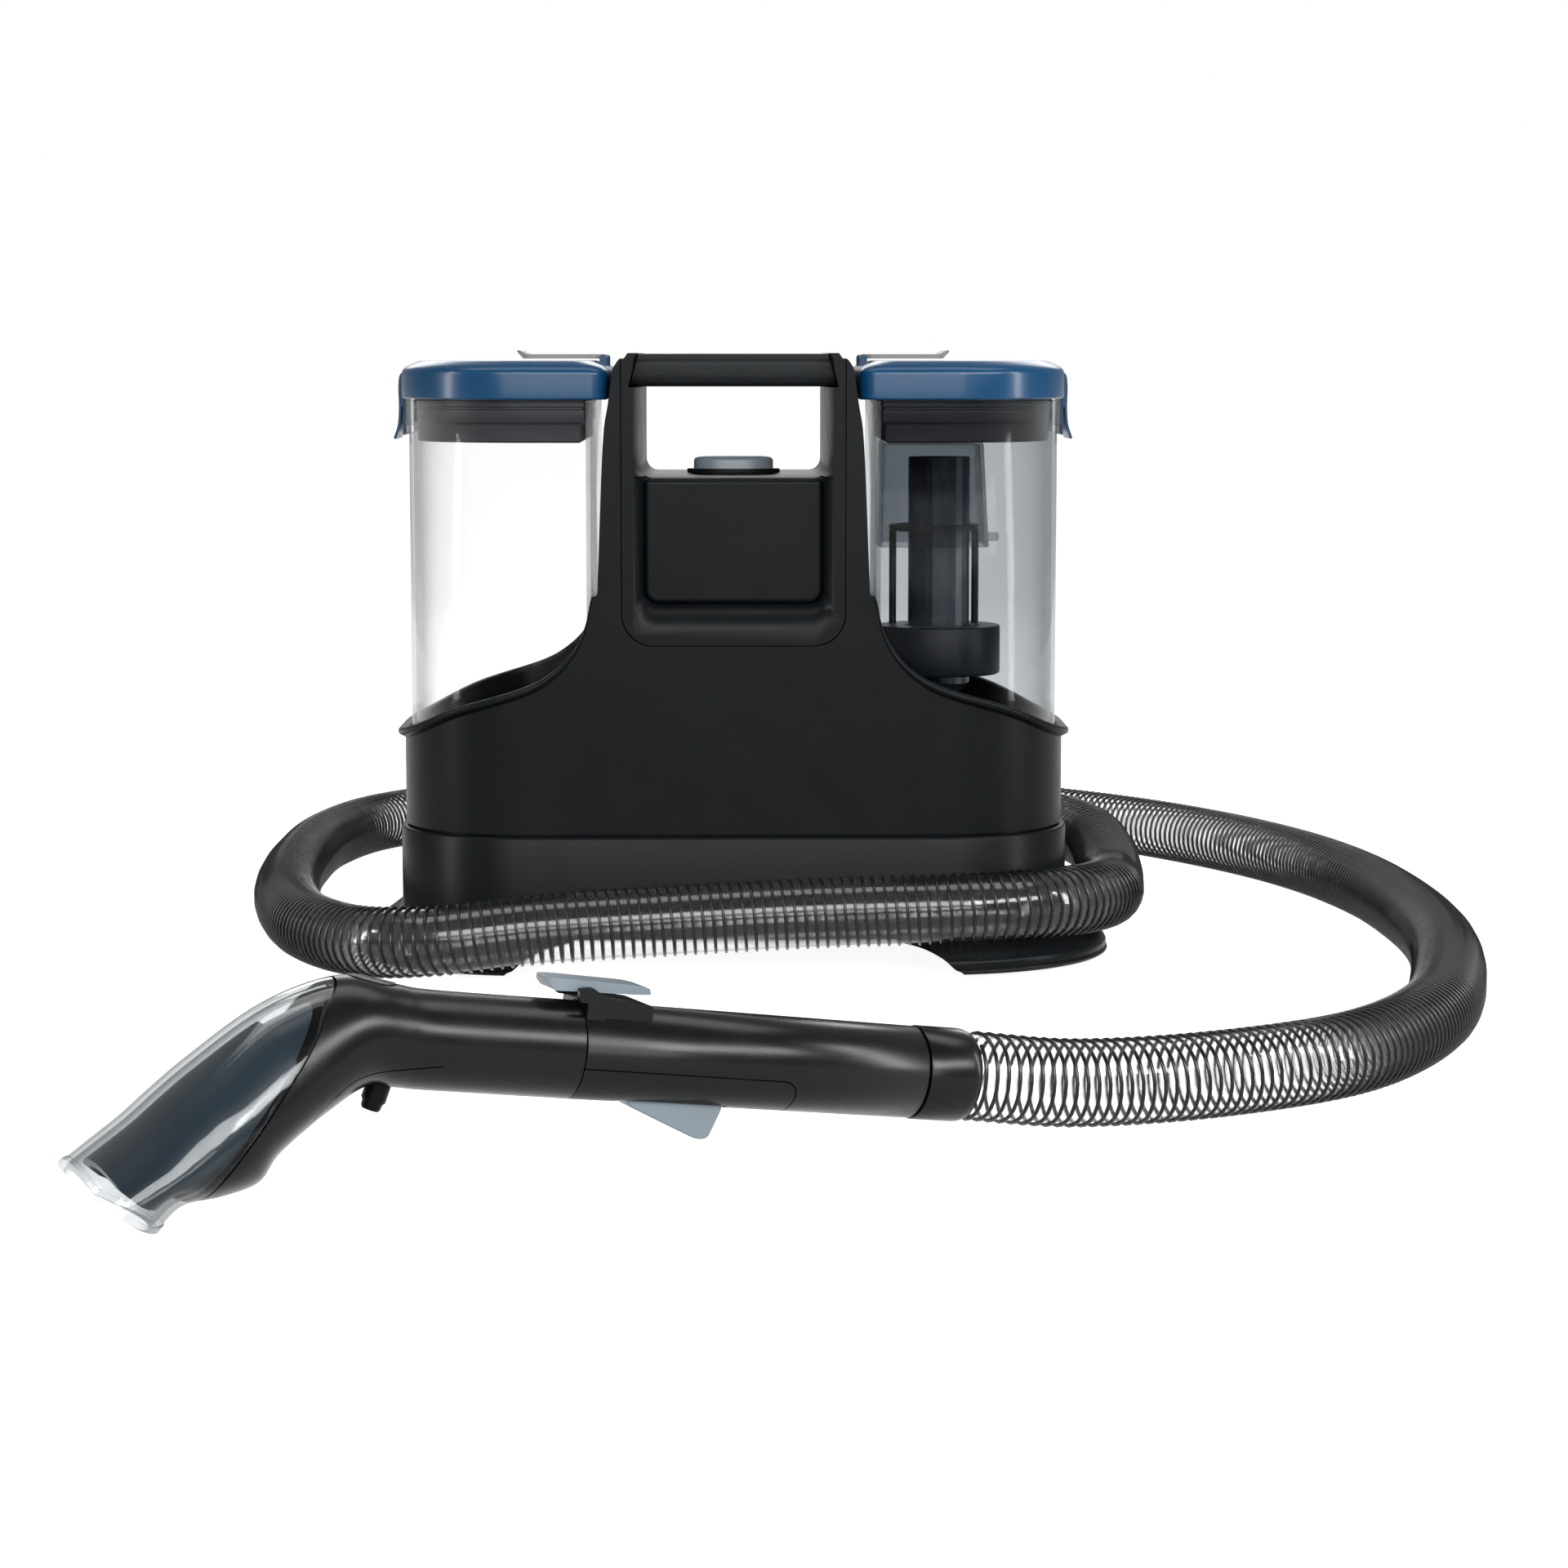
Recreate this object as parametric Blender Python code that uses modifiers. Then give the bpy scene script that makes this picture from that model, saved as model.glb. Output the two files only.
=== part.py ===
"""Portable spot extractor with its hose and hand tool, in metres, +Z up.

The origin is the centre of the machine's footprint on the floor, and the front faces -Y.
The clean water tank stands on the -X side and the dirty water tank on the +X side.
"""

import math

import bmesh
import bpy
from mathutils import Matrix, Vector

# Fits
GAP = 0.0003
WALL = 0.0025

# Housing
BODY_X, BODY_Y, BODY_R = 0.180, 0.0925, 0.070
SKIRT_X, SKIRT_Y, SKIRT_R = 0.1825, 0.0945, 0.072
FLOOR_Z, SEAM_Z, SEAM = 0.0180, 0.0728, 0.0015
DECK_Z, DECK_T = 0.084, 0.003
TOP_Z = 0.3293
COLUMN_IN = 0.0733
WELL_IN = 0.0700

# Handle frame in the column
FRAME_X, FRAME_Z, FRAME_R = 0.0594, 0.1749, 0.017
OPEN_LOW, OPEN_HIGH, OPEN_X = 0.2633, 0.3113, 0.053
GRIP_X = 0.0553
POCKET_X, POCKET_LOW, POCKET_HIGH, POCKET_DEEP = 0.053, 0.1835, 0.2605, 0.011
PANEL_X, PANEL_LOW = 0.0475, 0.1968

# Feet
FOOT_X, FOOT_Y, FOOT_R, FOOT_IN = 0.206, 0.122, 0.098, 0.100
FOOT_LOW, FOOT_EDGE, FOOT_TOP = 0.0025, 0.0105, 0.0265
PAD_R, PAD_T = 0.009, 0.0022

# Tanks and lids
TANK_IN, TANK_OUT, TANK_Y, TANK_R = 0.0755, 0.1763, 0.0888, 0.0663
TANK_LOW, TANK_TOP = 0.0905, 0.3040
LID_IN, LID_OUT, LID_Y, LID_R = 0.0665, 0.1800, 0.0915, 0.069
LID_LOW, LID_EDGE, LID_TOP = 0.3048, 0.3215, 0.3252
SEAL_LOW, SEAL_STEP, SEAL_HIGH = 0.2820, 0.2925, 0.3180
VALVE_X = 0.115
PIPE_X, PIPE_R, PIPE_LOW_R, PIPE_WALL = 0.1135, 0.017, 0.011, 0.002
PORT_IN, PORT_OUT, PORT_Y = 0.078, 0.106, 0.022
FLAP_OUT, FLAP_Z, FLAP_PIVOT_X = 0.117, 0.3263, 0.0705
LATCH_Y, LATCH_PIVOT = 0.020, (0.1836, 0.3175)

# Float
FLOAT_R, FLOAT_IN, FLOAT_LOW, FLOAT_HIGH = 0.034, 0.019, 0.153, 0.180
ROD_X, ROD_R = (0.0880, 0.1335), 0.002
YOKE_X, YOKE_R, YOKE_IN = 0.1107, 0.0247, 0.0207
YOKE_LOW, YOKE_HIGH = 0.232, 0.2355

# Hose and its port
HOSE_R = 0.019
PORT_Z, PORT_END = 0.052, (0.055, 0.195)
HOSE_ROUTE = [
    (0.0556, 0.1950, 0.0520), (0.0950, 0.1950, 0.0520), (0.1450, 0.1900, 0.0510),
    (0.1880, 0.1640, 0.0490), (0.2100, 0.1180, 0.0450), (0.2135, 0.0600, 0.0390),
    (0.2100, 0.0000, 0.0350), (0.2010, -0.0560, 0.0370), (0.1735, -0.0975, 0.0385),
    (0.1260, -0.1185, 0.0385), (0.0400, -0.1205, 0.0360), (-0.0400, -0.1250, 0.0325),
    (-0.1050, -0.1300, 0.0290), (-0.1550, -0.1310, 0.0235), (-0.1960, -0.1110, 0.0200),
    (-0.2290, -0.0580, 0.0193), (-0.2490, 0.0150, 0.0192), (-0.2610, 0.1050, 0.0192),
    (-0.2650, 0.2100, 0.0192), (-0.2600, 0.3200, 0.0192), (-0.2350, 0.4160, 0.0192),
    (-0.1780, 0.4860, 0.0192), (-0.0900, 0.5260, 0.0192), (0.0100, 0.5350, 0.0192),
    (0.1100, 0.5150, 0.0192), (0.1950, 0.4650, 0.0192), (0.2620, 0.3920, 0.0192),
    (0.3150, 0.3000, 0.0192), (0.3500, 0.2050, 0.0192), (0.3700, 0.1000, 0.0192),
    (0.3765, -0.0100, 0.0192), (0.3730, -0.1200, 0.0192), (0.3570, -0.2300, 0.0192),
    (0.3290, -0.3400, 0.0192), (0.2800, -0.4300, 0.0192), (0.2130, -0.4830, 0.0193),
]
HOSE_STEP = 0.037

# Wand: s runs along its axis from the hose end, h is up from the axis
WAND_END, WAND_YAW, WAND_TILT = (0.0953, -0.5396, 0.0294), math.radians(24), math.radians(7.95)
CUFF_S, CUFF_R = 0.0247, 0.0195
SEAM_S, SPIGOT_S = 0.1783, 0.196
WAND_R0, WAND_R1, WAND_WALL = 0.0190, 0.0197, 0.0025
SPLIT_S, SPLIT_H = 0.0835, -0.0046
TRIGGER_PIVOT = (0.1519, -0.0165)
LEVER_PIVOT = (0.1780, 0.0250)
TOOL_SECTIONS = [
    # s, h, tilt down in degrees, half height, half width
    (0.2369, 0.0000, 0.0, 0.0197, 0.0197), (0.2520, 0.0006, 4.0, 0.0203, 0.0203),
    (0.2690, 0.0000, 18.0, 0.0232, 0.0230), (0.2890, -0.0130, 36.0, 0.0265, 0.0280),
    (0.3110, -0.0320, 48.0, 0.0262, 0.0340), (0.3345, -0.0515, 55.0, 0.0232, 0.0385),
    (0.3568, -0.0666, 62.0, 0.0206, 0.0405),
]
WINDOW_SEAM = [(0.2787, 0.0330), (0.2787, 0.0248), (0.2870, 0.0110), (0.2967, -0.0088), (0.3387, -0.0757),
               (0.3430, -0.0850)]
CHANNEL = [(0.2880, 0.0097), (0.3010, 0.0036), (0.3260, -0.0185), (0.3486, -0.0416), (0.3650, -0.0532),
           (0.3345, -0.0679), (0.2970, -0.0085)]
LOWER_SEAM = [(0.2368, -0.0078), (0.2654, -0.0125), (0.2780, -0.0190), (0.2885, -0.0315), (0.3016, -0.0560),
              (0.3180, -0.0700), (0.3300, -0.0800)]

# The wand points this way, and the hose meets its end square on
ALONG = Vector((-math.cos(WAND_YAW) * math.cos(WAND_TILT), -math.sin(WAND_YAW) * math.cos(WAND_TILT),
                math.sin(WAND_TILT)))
HOSE_ROUTE += [tuple(Vector(WAND_END) - back * ALONG) for back in (0.056, 0.0008)]

scene = bpy.context.scene
TURNED_TO = {
    "X": Matrix(((0, 0, 1), (1, 0, 0), (0, 1, 0))).to_4x4(),
    "Y": Matrix(((1, 0, 0), (0, 0, -1), (0, 1, 0))).to_4x4(),
    "Z": Matrix.Identity(4),
}
SLIDES_ALONG = {"X": 1, "Y": -1, "Z": 1}


# Scene and materials

def clear_scene():
    for obj in list(bpy.data.objects):
        bpy.data.objects.remove(obj)


def collection(name, hidden=False):
    made = bpy.data.collections.new(name)
    made.hide_render = hidden
    scene.collection.children.link(made)
    return made


def material(name, colour, roughness, metallic=0.0, alpha=1.0):
    made = bpy.data.materials.new(name)
    made.use_nodes = True
    shader = made.node_tree.nodes["Principled BSDF"]
    shader.inputs["Base Color"].default_value = (*colour, 1)
    shader.inputs["Roughness"].default_value = roughness
    shader.inputs["Metallic"].default_value = metallic
    shader.inputs["Alpha"].default_value = alpha
    return made


clear_scene()
PARTS = collection("spot_extractor")
CUTTERS = collection("cutters", hidden=True)

BLACK = material("black_plastic", (0.012, 0.014, 0.016), 0.38)
GRIP_BLACK = material("grip_plastic", (0.018, 0.021, 0.023), 0.5)
BLUE = material("blue_plastic", (0.009, 0.066, 0.190), 0.25)
SLATE = material("slate_plastic", (0.21, 0.26, 0.33), 0.4)
GREY = material("grey_plastic", (0.38, 0.37, 0.38), 0.45)
CLEAR = material("clear_plastic", (0.93, 0.94, 0.95), 0.06, alpha=0.25)
SMOKE = material("smoke_plastic", (0.36, 0.39, 0.41), 0.08, alpha=0.4)
WINDOW = material("window_plastic", (0.10, 0.13, 0.16), 0.08, alpha=0.6)
HOSE = material("hose_plastic", (0.03, 0.035, 0.04), 0.3)
RUBBER = material("rubber", (0.02, 0.02, 0.02), 0.85)
STEEL = material("motor_steel", (0.55, 0.56, 0.57), 0.35, metallic=1.0)
BOARD = material("circuit_board", (0.02, 0.16, 0.07), 0.5)


# Outlines: closed lists of points in a plane

def arc(centre, radius, start, end, steps):
    angles = [math.radians(start + (end - start) * i / steps) for i in range(steps + 1)]
    return [(centre[0] + radius * math.cos(a), centre[1] + radius * math.sin(a)) for a in angles]


def rounded(low, high, radius, steps=6):
    """A rectangle between two corners with the same radius at all four."""
    (x0, y0), (x1, y1), r = low, high, radius
    return (arc((x1 - r, y0 + r), r, -90, 0, steps) + arc((x1 - r, y1 - r), r, 0, 90, steps)
            + arc((x0 + r, y1 - r), r, 90, 180, steps) + arc((x0 + r, y0 + r), r, 180, 270, steps))


def plan(half_x, half_y, radius, steps=7):
    return rounded((-half_x, -half_y), (half_x, half_y), radius, steps)


def end_plan(side, inner, outer, half_y, outer_r, inner_r=0.008):
    """The outline of one end of the machine, seen from above, wide corners at the outside."""
    points = (arc((outer - outer_r, -half_y + outer_r), outer_r, -90, 0, 7)
              + arc((outer - outer_r, half_y - outer_r), outer_r, 0, 90, 7)
              + arc((inner + inner_r, half_y - inner_r), inner_r, 90, 180, 3)
              + arc((inner + inner_r, -half_y + inner_r), inner_r, 180, 270, 3))
    return mirrored(points, side)


def mirrored(points, side):
    return points if side > 0 else [(-u, v) for u, v in reversed(points)]


def ellipse(half_x, half_y, steps=24):
    turn = 2 * math.pi / steps
    return [(half_x * math.cos(i * turn), half_y * math.sin(i * turn)) for i in range(steps)]


# Solids

def object_of(name, shape):
    mesh = bpy.data.meshes.new(name)
    shape.to_mesh(mesh)
    shape.free()
    made = bpy.data.objects.new(name, mesh)
    PARTS.objects.link(made)
    return made


def mesh_of(source, matrix):
    """The curve object as a mesh with its caps welded on."""
    name = source.name
    scene.collection.objects.link(source)
    evaluated = source.evaluated_get(bpy.context.evaluated_depsgraph_get())
    shape = bmesh.new()
    shape.from_mesh(bpy.data.meshes.new_from_object(evaluated))
    bpy.data.objects.remove(source)
    bmesh.ops.transform(shape, matrix=matrix, verts=shape.verts)
    bmesh.ops.remove_doubles(shape, verts=shape.verts, dist=1e-6)
    bmesh.ops.recalc_face_normals(shape, faces=shape.faces)
    return object_of(name, shape)


def plate(name, outline, low, high, axis="Z"):
    """A flat outline given a thickness, from low to high along an axis."""
    curve = bpy.data.curves.new(name, "CURVE")
    curve.dimensions = "2D"
    curve.fill_mode = "BOTH"
    curve.extrude = (high - low) / 2
    spline = curve.splines.new("POLY")
    spline.points.add(len(outline) - 1)
    for point, (u, v) in zip(spline.points, outline):
        point.co = (u, v, 0, 1)
    spline.use_cyclic_u = True
    middle = SLIDES_ALONG[axis] * (low + high) / 2
    matrix = TURNED_TO[axis] @ Matrix.Translation((0, 0, middle))
    return mesh_of(bpy.data.objects.new(name, curve), matrix)


def box(name, low, high):
    shape = bmesh.new()
    middle = (Vector(low) + Vector(high)) / 2
    size = Vector(high) - Vector(low)
    matrix = Matrix.Translation(middle) @ Matrix.Diagonal((*size, 1))
    bmesh.ops.create_cube(shape, size=1, matrix=matrix)
    return object_of(name, shape)


def rod(name, start, end, radius, end_radius=None, segments=24):
    """A cylinder or cone between two points."""
    start, end = Vector(start), Vector(end)
    shape = bmesh.new()
    matrix = (Matrix.Translation((start + end) / 2)
              @ (end - start).to_track_quat("Z", "Y").to_matrix().to_4x4())
    bmesh.ops.create_cone(shape, cap_ends=True, segments=segments, radius1=radius,
                          radius2=radius if end_radius is None else end_radius,
                          depth=(end - start).length, matrix=matrix)
    return object_of(name, shape)


def turned(name, profile, centre, steps=24):
    """A closed profile of radius and height, down its outer side, turned about a vertical axis."""
    mesh = bpy.data.meshes.new(name)
    edges = [(i, (i + 1) % len(profile)) for i in range(len(profile))]
    mesh.from_pydata([(r, 0, z) for r, z in profile], edges, [])
    made = bpy.data.objects.new(name, mesh)
    made.location = (*centre, 0)
    PARTS.objects.link(made)
    screw = made.modifiers.new("turned", "SCREW")
    screw.steps = screw.render_steps = steps
    screw.use_merge_vertices = True
    screw.merge_threshold = 1e-5
    return made


def sleeve(name, centre, outer, inner, low, high, steps=24):
    profile = [(outer, high), (outer, low), (inner, low), (inner, high)]
    return turned(name, profile, centre, steps)


def loft(name, sections):
    """A solid through closed sections that have equally many points."""
    shape = bmesh.new()
    rings = [[shape.verts.new(point) for point in section] for section in sections]
    for low, high in zip(rings, rings[1:]):
        for i in range(len(low)):
            j = (i + 1) % len(low)
            shape.faces.new((low[i], low[j], high[j], high[i]))
    shape.faces.new(list(reversed(rings[0])))
    shape.faces.new(rings[-1])
    bmesh.ops.recalc_face_normals(shape, faces=shape.faces)
    return object_of(name, shape)


def stack(name, *levels):
    """A loft through outlines at rising heights."""
    return loft(name, [[(x, y, z) for x, y in outline] for z, outline in levels])


def tube(name, points, radius, resolution=2):
    """A round bar along points, with filled ends."""
    curve = bpy.data.curves.new(name, "CURVE")
    curve.dimensions = "3D"
    curve.bevel_depth = radius
    curve.bevel_resolution = resolution
    curve.use_fill_caps = True
    spline = curve.splines.new("POLY")
    spline.points.add(len(points) - 1)
    for point, place in zip(spline.points, points):
        point.co = (*place, 1)
    return mesh_of(bpy.data.objects.new(name, curve), Matrix.Identity(4))


def smooth_path(route, spacing):
    """Evenly spaced points on the Catmull-Rom curve through a route."""
    ends = [2 * Vector(route[0]) - Vector(route[1]), 2 * Vector(route[-1]) - Vector(route[-2])]
    knots = [ends[0]] + [Vector(p) for p in route] + [ends[1]]
    fine = []
    for a, b, c, d in zip(knots, knots[1:], knots[2:], knots[3:]):
        for i in range(20):
            t = i / 20
            fine.append(0.5 * (2 * b + (c - a) * t + (2 * a - 5 * b + 4 * c - d) * t ** 2
                               + (3 * b - a - 3 * c + d) * t ** 3))
    fine.append(knots[-2])
    steps = [(q - p).length for p, q in zip(fine, fine[1:])]
    count = round(sum(steps) / spacing)
    wanted = sum(steps) / count
    path, travelled = [fine[0]], 0.0
    for (p, q), step in zip(zip(fine, fine[1:]), steps):
        while travelled + step >= wanted * len(path) - 1e-9 and len(path) < count:
            path.append(p.lerp(q, (wanted * len(path) - travelled) / step))
        travelled += step
    return path + [fine[-1]]


# Joining and finishing

def use(target, other, operation):
    """A Boolean on the target, with the other object as its hidden tool."""
    PARTS.objects.unlink(other)
    CUTTERS.objects.link(other)
    other.hide_render = True
    other.display_type = "WIRE"
    modifier = target.modifiers.new(other.name, "BOOLEAN")
    modifier.operation = operation
    modifier.object = other
    return target


def cut(target, *others):
    for other in others:
        use(target, other, "DIFFERENCE")
    return target


def join(target, *others):
    for other in others:
        use(target, other, "UNION")
    return target


def keep(target, other):
    return use(target, other, "INTERSECT")


def finish(obj, look, origin=None, smooth=35):
    """Gives a part its material and shading, and puts its origin on its joint's axis."""
    obj.data.materials.clear()
    obj.data.materials.append(look)
    if obj.data.polygons:
        obj.data.shade_smooth()
        obj.data.set_sharp_from_angle(angle=math.radians(smooth))
    if origin:
        obj.data.transform(Matrix.Translation(-Vector(origin)))
        obj.location = origin
    return obj


# Housing

def main_housing():
    """Upper body and column: swooping rim, two tank wells and a slot for the handle frame."""
    right = [(0.0510, TOP_Z), (0.0634, 0.3215), (0.0690, 0.2800), (0.0722, 0.2017), (0.0747, 0.2010),
             (0.0761, 0.1960), (0.0790, 0.1830), (0.0856, 0.1700), (0.0960, 0.1595), (0.1115, 0.1510),
             (0.1460, 0.1400), (0.1690, 0.1290), (0.1800, 0.1240), (0.1900, 0.1240), (0.1900, 0.0600)]
    silhouette = right + [(-x, z) for x, z in reversed(right)]
    low = SEAM_Z + SEAM
    body = plate("main_housing", plan(BODY_X, BODY_Y, BODY_R), low, TOP_Z)
    keep(body, plate("front_view", silhouette, -0.12, 0.12, "Y"))
    for side in (-1, 1):
        well = end_plan(side, COLUMN_IN, BODY_X - WALL, BODY_Y - WALL, BODY_R - WALL)
        cut(body, plate("tank_well", well, DECK_Z, TOP_Z + 0.01))
    hollow = plan(BODY_X - WALL, BODY_Y - WALL, BODY_R - WALL)
    cut(body, plate("under_deck", hollow, low - 0.01, DECK_Z - DECK_T))
    cut(body, box("column_hollow", (-WELL_IN, -BODY_Y + WALL, 0.078), (WELL_IN, BODY_Y - WALL, 0.1715)))
    slot = rounded((-FRAME_X, FRAME_Z), (FRAME_X, TOP_Z + 0.02), FRAME_R)
    cut(body, plate("frame_slot", slot, -0.12, 0.12, "Y"))
    cut(body, rod("clean_outlet", (-VALVE_X, 0, 0.07), (-VALVE_X, 0, 0.1), 0.007))
    cut(body, rod("dirty_inlet", (PIPE_X, 0, 0.07), (PIPE_X, 0, 0.1), 0.0115))
    finish(body, BLACK)


def lower_housing():
    """The skirt, a tray with a tongue that locates the upper body."""
    body = plate("lower_housing", plan(SKIRT_X, SKIRT_Y, SKIRT_R), FLOOR_Z, SEAM_Z)
    inset = BODY_X - WALL - GAP
    shrink = BODY_X - inset
    tongue = plan(inset, BODY_Y - shrink, BODY_R - shrink)
    join(body, plate("tongue", tongue, SEAM_Z - 0.004, SEAM_Z + 0.0065))
    inner = shrink + 0.0017
    cavity = plan(BODY_X - inner, BODY_Y - inner, BODY_R - inner)
    cut(body, plate("tray", cavity, FLOOR_Z + 0.003, SEAM_Z + 0.02))
    cut(body, rod("port_hole", (0, 0.08, PORT_Z - 0.004), (0, 0.11, PORT_Z - 0.004), 0.0165))
    cut(body, box("grille_hole", (0.0397, 0.08, 0.0317), (0.0903, 0.11, 0.0603)))
    cut(body, box("inlet_hole", (-0.0903, 0.08, 0.0367), (-0.0597, 0.11, 0.0593)))
    finish(body, BLACK)


def handle_frame():
    """The lining of the column: two posts, the floor of the handle opening and a pocket at each face."""
    right = [(GRIP_X + GAP, TOP_Z), (0.0591, 0.3242), (0.0591, FRAME_Z + GAP + FRAME_R)]
    corner = arc((0.0591 - FRAME_R, FRAME_Z + GAP + FRAME_R), FRAME_R, 0, -90, 6)[1:]
    half = right + corner
    outline = half + [(-x, z) for x, z in reversed(half)]
    frame = plate("handle_frame", outline, -BODY_Y, BODY_Y, "Y")
    opening = rounded((-OPEN_X, OPEN_LOW), (OPEN_X, OPEN_HIGH + 0.02), 0.006, 3)
    cut(frame, plate("hand_opening", opening, -0.12, 0.12, "Y"))
    slot_x = GRIP_X + GAP
    slot = [(-slot_x, OPEN_HIGH), (slot_x, OPEN_HIGH), (slot_x, 0.34), (-slot_x, 0.34)]
    cut(frame, plate("grip_slot", slot, -0.12, 0.12, "Y"))
    for face in (-1, 1):
        deep = face * (BODY_Y - POCKET_DEEP)
        mouth = face * (BODY_Y + 0.002)
        wide = rounded((-POCKET_X, POCKET_LOW), (POCKET_X, POCKET_HIGH), 0.012)
        narrow = rounded((-PANEL_X - GAP, PANEL_LOW - GAP), (PANEL_X + GAP, POCKET_HIGH), 0.008)
        sections = [[(x, mouth, z) for x, z in wide], [(x, deep, z) for x, z in narrow]]
        cut(frame, loft("pocket", sections))
        seat = face * (BODY_Y - POCKET_DEEP - 0.0033)
        outline = rounded((-PANEL_X - GAP, PANEL_LOW - GAP), (PANEL_X + GAP, POCKET_HIGH - 0.001), 0.008)
        cut(frame, plate("panel_seat", outline, min(seat, deep) - 0.0001, max(seat, deep) + 0.0001, "Y"))
    cut(frame, box("frame_hollow", (-0.045, -0.070, 0.17), (0.045, 0.070, OPEN_LOW - 0.0035)))
    cut(frame, plate("button_hole", ellipse(0.0225, 0.0125), 0.25, 0.27))
    finish(frame, BLACK)


def handle_grip():
    """The bar of the handle, between the posts, its lower edge rounded for the fingers."""
    bar = rounded((-0.080, OPEN_HIGH + GAP), (0.080, TOP_Z - GAP), 0.0055, 4)
    finish(plate("handle_grip", bar, -GRIP_X, GRIP_X, "X"), GRIP_BLACK)


def pocket_panels():
    for name, face in (("pocket_panel_front", -1), ("pocket_panel_back", 1)):
        outline = rounded((-PANEL_X, PANEL_LOW), (PANEL_X, POCKET_HIGH - 0.0015), 0.0075)
        ends = sorted((face * (BODY_Y - POCKET_DEEP), face * (BODY_Y - POCKET_DEEP - 0.0030)))
        finish(plate(name, outline, *ends, "Y"), BLACK)


def feet():
    """A flange under each end, sloped on top to cradle the hose, and cut away towards the middle."""
    edge = plan(FOOT_X, FOOT_Y, FOOT_R)
    under = plan(FOOT_X - 0.003, FOOT_Y - 0.003, FOOT_R - 0.003)
    top = plan(SKIRT_X + 0.0015, SKIRT_Y + 0.0015, SKIRT_R + 0.0015)
    for name, side in (("foot_left", -1), ("foot_right", 1)):
        foot = stack(name, (FOOT_LOW, under), (FOOT_LOW + 0.003, edge), (FOOT_EDGE, edge), (FOOT_TOP, top))
        skirt = plan(SKIRT_X + GAP, SKIRT_Y + GAP, SKIRT_R + GAP)
        cut(foot, plate("skirt_seat", skirt, FLOOR_Z - GAP, 0.05))
        middle = [(-0.25, -0.01), (FOOT_IN + 0.0215, -0.01), (FOOT_IN + 0.0215, FOOT_LOW),
                  (FOOT_IN + 0.012, 0.009), (FOOT_IN, 0.0155), (FOOT_IN - 0.006, 0.05), (-0.25, 0.05)]
        cut(foot, plate("between_feet", mirrored(middle, side), -0.2, 0.2, "Y"))
        finish(foot, BLACK)
        for place, y in (("front", -0.080), ("back", 0.080)):
            x = side * 0.145
            pad = rod(f"{name}_pad_{place}", (x, y, 0), (x, y, PAD_T), PAD_R, segments=20)
            finish(pad, RUBBER)


def button():
    """The power button in its oval bezel, and the switch under it."""
    bezel = plate("button_bezel", ellipse(0.0255, 0.0150), OPEN_LOW + GAP, OPEN_LOW + 0.0030)
    finish(cut(bezel, plate("bezel_bore", ellipse(0.0225, 0.0125), 0.26, 0.27)), BLACK)
    top = stack("power_button", (0.2580, ellipse(0.0218, 0.0118)), (0.2715, ellipse(0.0218, 0.0118)),
                (0.2733, ellipse(0.0200, 0.0100)))
    finish(top, SLATE, (0, 0, 0.258))
    finish(box("switch_body", (-0.012, -0.010, 0.228), (0.012, 0.010, 0.2545)), BLACK)


# Works inside the housing

def motor():
    can = sleeve("motor_can", (0, 0), 0.040, 0.0045, 0.086, 0.150)
    finish(can, STEEL)
    volute = sleeve("fan_housing", (0, 0), 0.056, 0.0045, 0.052, 0.082, 32)
    finish(cut(volute, rod("fan_chamber", (0, 0, 0.04), (0, 0, 0.0775), 0.0525, segments=32)), BLACK)
    finish(sleeve("fan_base_ring", (0, 0), 0.056, 0.0505, FLOOR_Z + 0.0033, 0.0517, 32), RUBBER)
    wheel = [(0.004, 0.140), (0.004, 0.072), (0.048, 0.068), (0.048, 0.058), (0.012, 0.058), (0.012, 0.054),
             (0.0, 0.054), (0.0, 0.140)]
    finish(turned("impeller", wheel, (0, 0), 28), STEEL)


def water_system():
    """Pump, its feed from the clean tank and the spray line to the hose."""
    pump = rod("water_pump", (-0.140, 0.035, 0.046), (-0.080, 0.035, 0.046), 0.016, segments=20)
    join(pump, box("pump_head", (-0.148, 0.022, 0.033), (-0.126, 0.048, 0.059)))
    join(pump, box("pump_stand", (-0.130, 0.028, 0.0213), (-0.090, 0.042, 0.036)))
    finish(pump, BLACK)
    feed = [(-VALVE_X, 0.000, 0.0807), (-VALVE_X, 0.000, 0.070), (-0.118, -0.008, 0.060),
            (-0.128, -0.006, 0.050), (-0.137, 0.006, 0.046), (-0.137, 0.0186, 0.046)]
    finish(tube("feed_tube", smooth_path(feed, 0.008), 0.004), RUBBER)
    spray = [(-0.0797, 0.035, 0.046), (-0.070, 0.036, 0.0455), (-0.060, 0.050, 0.040),
             (-0.050, 0.065, 0.036), (-0.030, 0.076, 0.038), (-0.0180, 0.079, 0.0425),
             (-0.0140, 0.0862, 0.043)]
    finish(tube("spray_tube", smooth_path(spray, 0.009), 0.0025), CLEAR)


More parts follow.
